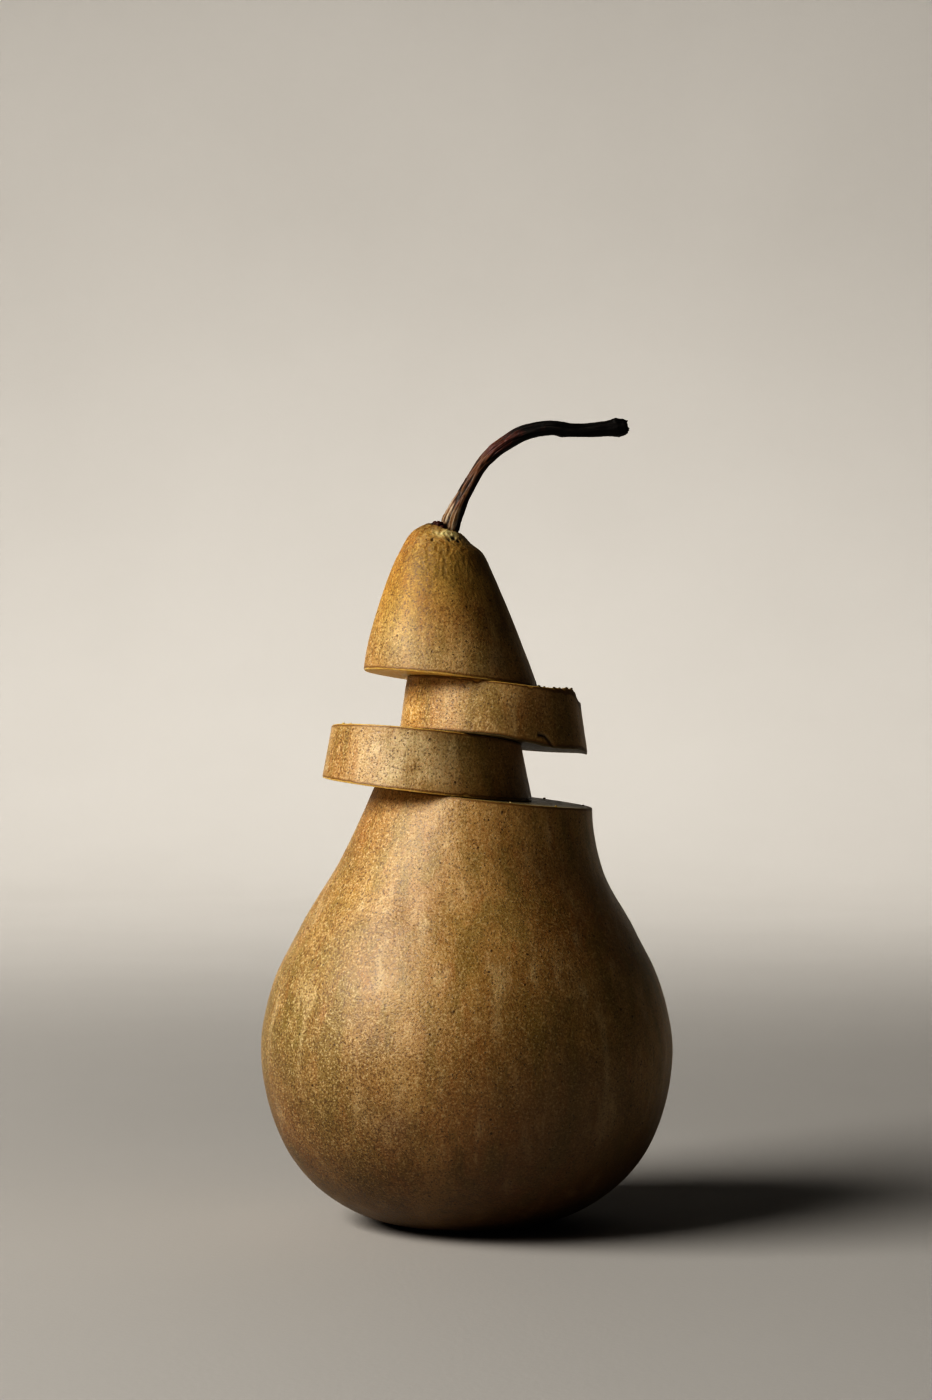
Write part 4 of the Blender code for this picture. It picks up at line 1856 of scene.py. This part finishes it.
@dataclass(frozen=True)
class SkinFinish:
    """Russet skin: golden to ochre, mottled, fine grained and dotted, with a satin sheen, with painted shade
    low down, in its cracks, holes and pit and in some patches, and painted light in others.
    """

    golden: Colour = (0.60, 0.390, 0.160)
    ochre: Colour = (0.43, 0.258, 0.092)
    olive: Colour = (0.30, 0.215, 0.060)
    rust: Colour = (0.42, 0.190, 0.050)
    mauve: Colour = (0.31, 0.195, 0.115)
    gold: Colour = (0.62, 0.385, 0.085)
    # Also the painted shade of the tan patches
    tan: Colour = (0.27, 0.168, 0.056)
    cream: Colour = (0.84, 0.67, 0.40)
    brown: Colour = (0.17, 0.092, 0.034)
    lenticel: Colour = (0.075, 0.04, 0.014)
    cork: Colour = (0.17, 0.095, 0.038)
    pale: Colour = (0.88, 0.74, 0.38)
    # Near black: the painted shade in cracks, creases, holes and the pit
    crevice_and_painted_shade: Colour = (0.03, 0.017, 0.008)
    edge: Colour = (0.23, 0.115, 0.03)
    # Painted shade, multiplied over the skin low on the pear
    low: Colour = (0.33, 0.28, 0.21)
    high: Colour = (0.90, 0.79, 0.46)
    roughness: tuple[float, float] = (0.30, 0.58)
    subsurface: float = 0.10
    # The sparse large dots, the closer small ones and the fine pores: how far apart they are, and
    # their smallest and largest radius as a share of that
    dot_sizes: Line = ((2.1 * MM, 0.02, 0.15), (1.25 * MM, 0.0, 0.16), (0.62 * MM, 0.0, 0.32))
    dot_strengths: tuple[float, ...] = (0.80, 0.75, 0.72)

    def colour(self, bench: Bench, grain: Socket, fleck: Socket, dots: Sequence[Socket]) -> Socket:
        """The skin's colour, from its broadest tints to its finest dots.

        Args:
            bench: The material being laid out.
            grain: The fine grain.
            fleck: The pale flecks.
            dots: The dark dots.

        Returns:
            The colour.
        """
        broad = bench.fade(bench.noise(24 * MM, 3.0, bend=0.4), 0.36, 0.66)
        colour = bench.mix(broad, self.golden, self.ochre)
        tints = (
            (Tint.OCHRE, self.tan),
            (Tint.CREAM, self.cream),
            (Tint.GOLD, self.gold),
            (Tint.OLIVE, self.olive),
            (Tint.RUST, self.rust),
            (Tint.MAUVE, self.mauve),
        )
        cloud = bench.fade(bench.noise(4.2 * MM, 4.0, keep=0.62), 0.34, 0.62)
        # Some patches of these tints are painted shade and painted light
        for tint, shade in tints:
            share = bench.times(bench.value(tint.value), bench.sum("ADD", bench.times(cloud, 0.6), 0.55))
            colour = bench.mix(share, colour, shade)
        mottle = bench.fade(bench.noise(6 * MM, 4.0, keep=0.6, bend=0.3), 0.42, 0.68)
        colour = bench.mix(bench.times(mottle, 0.34), colour, self.ochre)
        green = bench.fade(bench.noise(9 * MM, 3.0, bend=0.8), 0.55, 0.75)
        colour = bench.mix(bench.times(green, 0.30), colour, self.olive)
        streak = bench.noise(1.0, 3.0, where=bench.stretched(430, 430, 60), keep=0.6)
        colour = bench.mix(bench.fade(streak, 0.50, 0.74, 0.0, 0.40), colour, self.rust)
        band = bench.noise(1.0, 3.0, where=bench.stretched(200, 200, 30), keep=0.6)
        colour = bench.mix(bench.fade(band, 0.47, 0.66, 0.0, 0.50), colour, self.olive)
        colour = bench.mix(bench.fade(band, 0.46, 0.30, 0.0, 0.30), colour, self.cream)
        coarse = bench.value("coarse")
        # Partly painted glints: the cream specks are strongest on the cheek that the lamp lights
        colour = bench.mix(self.by(bench, coarse, grain, 0.52, 0.63, 0.28, 0.62), colour, self.cream)
        colour = bench.mix(self.by(bench, coarse, grain, 0.49, 0.38, 0.36, 0.88), colour, self.brown)
        colour = bench.mix(bench.times(fleck, 0.25), colour, self.cream)
        for dot, strength in zip(dots, self.dot_strengths):
            colour = bench.mix(bench.times(dot, strength), colour, self.lenticel)
        # Painted shade: the lower skin darkened towards the foot
        colour = bench.mix(bench.value("low"), colour, self.low, Mixing.STAIN)
        return bench.mix(bench.value("high"), colour, self.high, Mixing.STAIN)

    def by(
        self, bench: Bench, coarse: Socket, grain: Socket, low: float, high: float, least: float, most: float
    ) -> Socket:
        """How much of the grain shows where the russet is fine, and where it is coarse.

        Args:
            bench: The material being laid out.
            coarse: How coarse the russet is.
            grain: The fine grain.
            low: The grain's value where none shows.
            high: The grain's value where it shows in full.
            least: Its strength where the russet is fine.
            most: Its strength where the russet is coarse.

        Returns:
            The share.
        """
        return bench.times(bench.fade(grain, low, high), bench.fade(coarse, 0.0, 1.0, least, most))

    def round_the_stem(self, bench: Bench, colour: Socket, grain: Socket) -> Socket:
        """The cork, the pale rim, painted light and shade on the wrinkles, painted shade in the crevices and
        pit, and the brown line at each cut, laid over the colour.

        Args:
            bench: The material being laid out.
            colour: The skin's colour.
            grain: The fine grain.

        Returns:
            The colour with those.
        """
        # Painted highlight on the wrinkles' ridges and painted shade in their grooves
        ridge = bench.value("crinkle")
        colour = bench.mix(bench.fade(ridge, 0.35, 1.0, 0.0, 0.16), colour, self.pale)
        colour = bench.mix(bench.fade(ridge, -0.1, -0.9, 0.0, 0.35), colour, self.cork)
        rough = bench.fade(bench.noise(1.1 * MM, 4.0, keep=0.65), 0.3, 0.62, 0.55, 1.25)
        colour = bench.mix(bench.times(bench.value("cork"), rough), colour, self.cork)
        colour = bench.mix(bench.times(bench.value("pale"), rough), colour, self.pale)
        uneven = bench.fade(grain, 0.3, 0.7, 0.75, 1.2)
        # Painted shade in the cracks, creases, holes and pit
        colour = bench.mix(bench.times(bench.value("dark"), uneven), colour, self.crevice_and_painted_shade)
        dry = bench.fade(bench.value("rim"), 2.2, 0.0, 0.0, 0.22)
        colour = bench.mix(dry, colour, self.ochre)
        line = bench.fade(bench.value("rim"), 0.42, 0.06, 0.0, 0.85)
        return bench.mix(bench.times(line, uneven), colour, self.edge)

    def made(self) -> Material:
        """The finished material.

        Returns:
            The material.
        """
        bench = Bench("pear_skin")
        grain = bench.noise(0.42 * MM, 3.0, keep=0.70)
        coarse = bench.noise(1.3 * MM, 4.0, keep=0.65)
        fleck = bench.dots(0.62 * MM, 0.08, 0.34)
        dots = [bench.dots(*sizes) for sizes in self.dot_sizes]
        mixed = bench.sum("ADD", bench.times(grain, 0.80), bench.times(coarse, 0.20))
        colour = self.colour(bench, mixed, fleck, dots)
        colour = self.round_the_stem(bench, colour, grain)
        duller = bench.times(bench.value("high"), 0.2)
        roughness = bench.sum("ADD", bench.fade(mixed, 0.3, 0.7, *self.roughness), duller)
        swell = bench.noise(3.2 * MM, 3.0)
        bench.relief(
            [(grain, 0.12), (coarse, 0.08), (swell, 0.14), (fleck, 0.02), (dots[0], 0.03), (dots[1], -0.02),
             (dots[2], -0.035)]
        )
        constants = {
            "Subsurface Weight": self.subsurface,
            "Subsurface Scale": 1.2 * MM,
            "Subsurface Radius": (1.0, 0.55, 0.18),
            "Specular IOR Level": 0.60,
            "Coat Weight": 0.12,
            "Coat Roughness": 0.40,
        }
        return bench.finish(colour, roughness, constants)


@dataclass(frozen=True)
class FleshFinish:
    """Ripe flesh: cream, yellow just under the skin, grainy and a little moist."""

    cream: Colour = (0.66, 0.53, 0.31)
    green: Colour = (0.54, 0.46, 0.25)
    tan: Colour = (0.46, 0.30, 0.13)
    under_skin: Colour = (0.72, 0.500, 0.17)
    line: Colour = (0.30, 0.16, 0.045)
    core: Colour = (0.52, 0.46, 0.22)
    # Painted shade: a dark brown laid on cut faces and crumbs where shade falls
    browned: Colour = (0.115, 0.088, 0.045)

    def made(self) -> Material:
        """The finished material.

        Returns:
            The material.
        """
        bench = Bench("pear_flesh")
        depth = bench.value("rim")
        broad = bench.fade(bench.noise(8 * MM, 3.0), 0.35, 0.68)
        colour = bench.mix(broad, self.cream, self.green)
        cells = bench.noise(0.75 * MM, 3.0, keep=0.6)
        colour = bench.mix(bench.fade(cells, 0.52, 0.78, 0.0, 0.35), colour, self.tan)
        grit = bench.dots(1.0 * MM, 0.06, 0.3)
        colour = bench.mix(bench.times(grit, 0.35), colour, self.tan)
        wander = bench.fade(bench.noise(2.4 * MM, 3.0), 0.25, 0.75, -0.5, 0.5)
        edge = bench.sum("ADD", depth, wander)
        colour = bench.mix(bench.fade(edge, 2.3, 0.5), colour, self.under_skin)
        colour = bench.mix(bench.fade(depth, 0.26, 0.04, 0.0, 0.55), colour, self.line)
        colour = bench.mix(bench.fade(depth, 12.5, 15.5, 0.0, 0.7), colour, self.core)
        # Painted shade on the faces and crumbs in shade
        colour = bench.mix(bench.value("browned"), colour, self.browned)
        roughness = bench.fade(cells, 0.3, 0.7, 0.34, 0.56)
        bench.relief([(cells, 0.06), (grit, 0.03), (broad, 0.08)])
        constants = {
            "Subsurface Weight": 0.22,
            "Subsurface Scale": 2.0 * MM,
            "Subsurface Radius": (1.0, 0.75, 0.35),
            "Specular IOR Level": 0.5,
        }
        return bench.finish(colour, roughness, constants)


@dataclass(frozen=True)
class StemFinish:
    """Stem bark: tan with grey streaks at the root, red brown above it and near black to the end."""

    root: Colour = (0.23, 0.13, 0.058)
    amber: Colour = (0.18, 0.078, 0.033)
    red: Colour = (0.115, 0.030, 0.018)
    black: Colour = (0.020, 0.017, 0.0155)
    streak: Colour = (0.62, 0.52, 0.38)
    # Near black for the bark's cracks, and for the painted shade in the grooves and on the side away from the
    # lamp
    crevice_and_painted_shade: Colour = (0.010, 0.007, 0.005)
    broken: Colour = (0.085, 0.055, 0.036)

    def made(self) -> Material:
        """The finished material.

        Returns:
            The material.
        """
        bench = Bench("stem_bark_finish")
        along = bench.value("along")
        groove = bench.value("groove")
        cloud = bench.noise(2.6 * MM, 4.0, keep=0.62)
        wander = bench.sum("ADD", along, bench.fade(cloud, 0.25, 0.75, -0.09, 0.09))
        colour = bench.mix(bench.fade(wander, 0.10, 0.22), self.root, self.amber)
        colour = bench.mix(bench.fade(wander, 0.33, 0.45), colour, self.red)
        colour = bench.mix(bench.fade(wander, 0.47, 0.60), colour, self.black)
        fine = bench.noise(0.5 * MM, 3.0, keep=0.65)
        streak = bench.value("streak")
        scuff = bench.times(bench.fade(streak, 0.05, 0.55), bench.fade(along, 0.34, 0.06, 0.04, 0.85))
        colour = bench.mix(scuff, colour, self.streak)
        colour = bench.mix(bench.fade(streak, -0.12, -0.55, 0.0, 0.75), colour, self.crevice_and_painted_shade)
        worn = bench.times(bench.fade(cloud, 0.55, 0.75, 0.0, 0.3), bench.fade(groove, 0.25, 0.0))
        colour = bench.mix(worn, colour, self.red)
        # Painted shade: the stem's side away from the lamp, near black
        colour = bench.mix(bench.times(bench.value("under"), 0.85), colour, self.crevice_and_painted_shade)
        colour = bench.mix(bench.times(bench.value("broken"), 0.7), colour, self.broken)
        # The grooves near black: the bark's dark cracks and painted shade in them
        colour = bench.mix(bench.fade(groove, 0.2, 0.8, 0.0, 0.9), colour, self.crevice_and_painted_shade)
        roughness = bench.fade(fine, 0.3, 0.7, 0.42, 0.66)
        bench.relief([(fine, 0.045), (cloud, 0.10), (streak, 0.05)])
        return bench.finish(colour, roughness, {"Specular IOR Level": 0.4})


@dataclass(frozen=True)
class SepalFinish:
    """Dried sepals: dark brown, paler and greyer towards their points."""

    dark: Colour = (0.035, 0.020, 0.011)
    brown: Colour = (0.13, 0.075, 0.036)
    grey: Colour = (0.26, 0.19, 0.12)

    def made(self) -> Material:
        """The finished material.

        Returns:
            The material.
        """
        bench = Bench("dried_sepal_finish")
        patchy = bench.noise(0.9 * MM, 4.0, keep=0.65)
        colour = bench.mix(bench.fade(patchy, 0.35, 0.68), self.dark, self.brown)
        points = bench.times(bench.value("tip"), bench.fade(patchy, 0.42, 0.75, 0.1, 0.8))
        colour = bench.mix(points, colour, self.grey)
        veins = bench.noise(0.28 * MM, 2.0)
        roughness = bench.fade(patchy, 0.3, 0.7, 0.6, 0.85)
        bench.relief([(veins, 0.05), (patchy, 0.1)])
        return bench.finish(colour, roughness, {"Specular IOR Level": 0.25})


@dataclass(frozen=True)
class BackdropFinish:
    """Pale matt paper."""

    light: Colour = (0.56, 0.545, 0.52)
    dark: Colour = (0.53, 0.515, 0.49)

    def made(self) -> Material:
        """The finished material.

        Returns:
            The material.
        """
        bench = Bench("pale_paper")
        cloud = bench.noise(120 * MM, 3.0)
        colour = bench.mix(cloud, self.light, self.dark)
        roughness = bench.fade(cloud, 0.2, 0.8, 0.78, 0.88)
        bench.relief([(bench.noise(1.2 * MM, 2.0), 0.03)])
        return bench.finish(colour, roughness, {"Specular IOR Level": 0.2})


@dataclass(frozen=True)
class Studio:
    """The camera at the height of the upper slices, the soft light from the left and the pale sweep."""

    camera_place: Place = (-0.28 * MM, -555 * MM, 96.2 * MM)
    lens: float = 77.14
    film_height: float = 36.0
    key_place: Place = (-0.836, -0.390, 0.69)
    key_target: Place = (0.0, 0.0, 0.075)
    key_size: tuple[float, float] = (0.85, 0.50)
    key_power: float = 11.2
    key_colour: Colour = (1.0, 0.97, 0.93)
    sky: Colour = (0.93, 0.96, 1.0)
    sky_strength: float = 0.012
    sky_seen: float = 0.30
    back_place: Place = (0.0, 0.55, 1.05)
    back_target: Place = (0.0, 1.05, 0.10)
    back_size: tuple[float, float] = (1.6, 0.4)
    back_power: float = 3.4
    back_spread: float = 95.0
    sweep_front: float = -2.0
    sweep_back: float = 0.9
    sweep_bend: float = 0.4
    sweep_height: float = 2.0
    sweep_half_width: float = 2.0
    bend_steps: int = 24

    def camera(self) -> None:
        """Stand the camera in front of the pear, level."""
        data = bpy.data.cameras.new("camera")
        data.sensor_fit = "VERTICAL"
        data.sensor_height = self.film_height
        data.lens = self.lens
        data.clip_start = 0.01
        data.clip_end = 20.0
        thing = bpy.data.objects.new("camera", data)
        thing.location = self.camera_place
        thing.rotation_euler = (math.pi / 2, 0.0, 0.0)
        bpy.context.scene.collection.objects.link(thing)
        bpy.context.scene.camera = thing

    def panel(
        self,
        name: str,
        place: Place,
        target: Place,
        size: tuple[float, float],
        power: float,
        spread: float = 180.0,
    ) -> None:
        """Hang one light panel.

        Args:
            name: Its name.
            place: Where it hangs.
            target: What it is aimed at.
            size: Its width and height.
            power: Its power in watts.
            spread: How wide its beam opens, in degrees.
        """
        data = bpy.data.lights.new(name, "AREA")
        data.shape = "RECTANGLE"
        data.size, data.size_y = size
        data.energy = power
        data.color = self.key_colour
        data.spread = math.radians(spread)
        thing = bpy.data.objects.new(name, data)
        thing.location = place
        thing.rotation_euler = (Vector(target) - Vector(place)).to_track_quat("-Z", "Y").to_euler()
        bpy.context.scene.collection.objects.link(thing)

    def lights(self) -> None:
        """Hang the soft light and the backdrop's light, and set the dim light from all around."""
        self.panel("key", self.key_place, self.key_target, self.key_size, self.key_power)
        self.panel(
            "back", self.back_place, self.back_target, self.back_size, self.back_power, self.back_spread
        )
        world = bpy.data.worlds.new("studio")
        world.use_nodes = True
        tree = world.node_tree
        background = tree.nodes["Background"]
        background.inputs["Color"].default_value = (*self.sky, 1.0)
        seen = tree.nodes.new("ShaderNodeMapRange")
        seen.inputs["To Min"].default_value = self.sky_strength
        seen.inputs["To Max"].default_value = self.sky_seen
        tree.links.new(tree.nodes.new("ShaderNodeLightPath").outputs["Is Camera Ray"], seen.inputs["Value"])
        tree.links.new(seen.outputs["Result"], background.inputs["Strength"])
        bpy.context.scene.world = world

    def sweep(self, paper: Material) -> None:
        """Lay the floor, which curves up into the backdrop.

        Args:
            paper: Its material.
        """
        profile = [(self.sweep_front, 0.0), (self.sweep_back, 0.0)]
        for k in range(1, self.bend_steps + 1):
            turn = math.pi / 2 * k / self.bend_steps
            profile.append(
                (self.sweep_back + self.sweep_bend * math.sin(turn), self.sweep_bend * (1 - math.cos(turn)))
            )
        profile.append((self.sweep_back + self.sweep_bend, self.sweep_height))
        points = [(x, y, z) for y, z in profile for x in (-self.sweep_half_width, self.sweep_half_width)]
        faces = [(2 * k, 2 * k + 1, 2 * k + 3, 2 * k + 2) for k in range(len(profile) - 1)]
        mesh = bpy.data.meshes.new("paper_sweep")
        mesh.from_pydata(points, [], faces)
        mesh.materials.append(paper)
        mesh.shade_smooth()
        thing = bpy.data.objects.new("paper_sweep", mesh)
        bpy.context.scene.collection.objects.link(thing)

    def build(self) -> None:
        """Set up the whole studio."""
        self.camera()
        self.lights()
        self.sweep(BackdropFinish().made())
        view = bpy.context.scene.view_settings
        view.view_transform = "Standard"
        view.look = "Very High Contrast"
        log.info("studio: camera, soft light and paper sweep")


def main() -> None:
    """Build the studio and then the pear from the floor up."""
    logging.basicConfig(level=logging.INFO, format="%(name)s %(message)s")
    Studio().build()
    finishes = [SkinFinish().made(), FleshFinish().made()]
    body = Body(
        "body_skin", "pear_body", Standing(0.0, 0.0, 0.0), sides=400, skin_rings=150, upper=FIRST_CUT,
        # Painted shade on the body's top face, under the slice above
        browned={Face.UP: 0.6},
    )
    lower_slice = PearPiece(
        "lower_slice_skin", "lower_slice", Standing(-7.95 * MM, -1.2 * MM, 4.2 * MM),
        sides=600, skin_rings=44, lower=FIRST_CUT, upper=SECOND_CUT,
    )
    cracks = (
        Scar(((-60, 90.2), (-55.5, 89.95), (-48, 88.35), (-41.5, 87.8)), 0.36 * MM, 0.20 * MM),
        Scar(((-80.5, 95.6), (-77.5, 94.9)), 0.06 * MM, 0.12 * MM, crease_shade=0.4),
    )
    upper_slice = UpperSlice(
        "upper_slice_skin", "upper_slice", Standing(4.45 * MM, -0.5 * MM, 6.0 * MM),
        sides=600, skin_rings=56, lower=SECOND_CUT, upper=THIRD_CUT, scars=cracks,
        # Painted shade on the slice's underside
        browned={Face.UP: 0.0, Face.DOWN: 0.85},
    )
    crease = Scar(((-88, 123.6), (-86, 121.4), (-87, 118.8)), 0.06 * MM, 0.30 * MM, crease_shade=0.22)
    tip = Tip(
        "tip_skin", "pear_top", Standing(-3.3 * MM, -2.3 * MM, 5.3 * MM), sides=420, skin_rings=176,
        lower=THIRD_CUT, outline=Outline((*PEAR_OUTLINE, *PIT_OUTLINE)), scars=(crease,),
    )
    for piece in (body, lower_slice, upper_slice, tip):
        piece.build(finishes)
    Crumbs().build(body, lower_slice, upper_slice, finishes[Layer.FLESH.value])
    Stem().build(StemFinish().made())
    Calyx().build(SepalFinish().made())


if __name__ == "__main__":
    main()
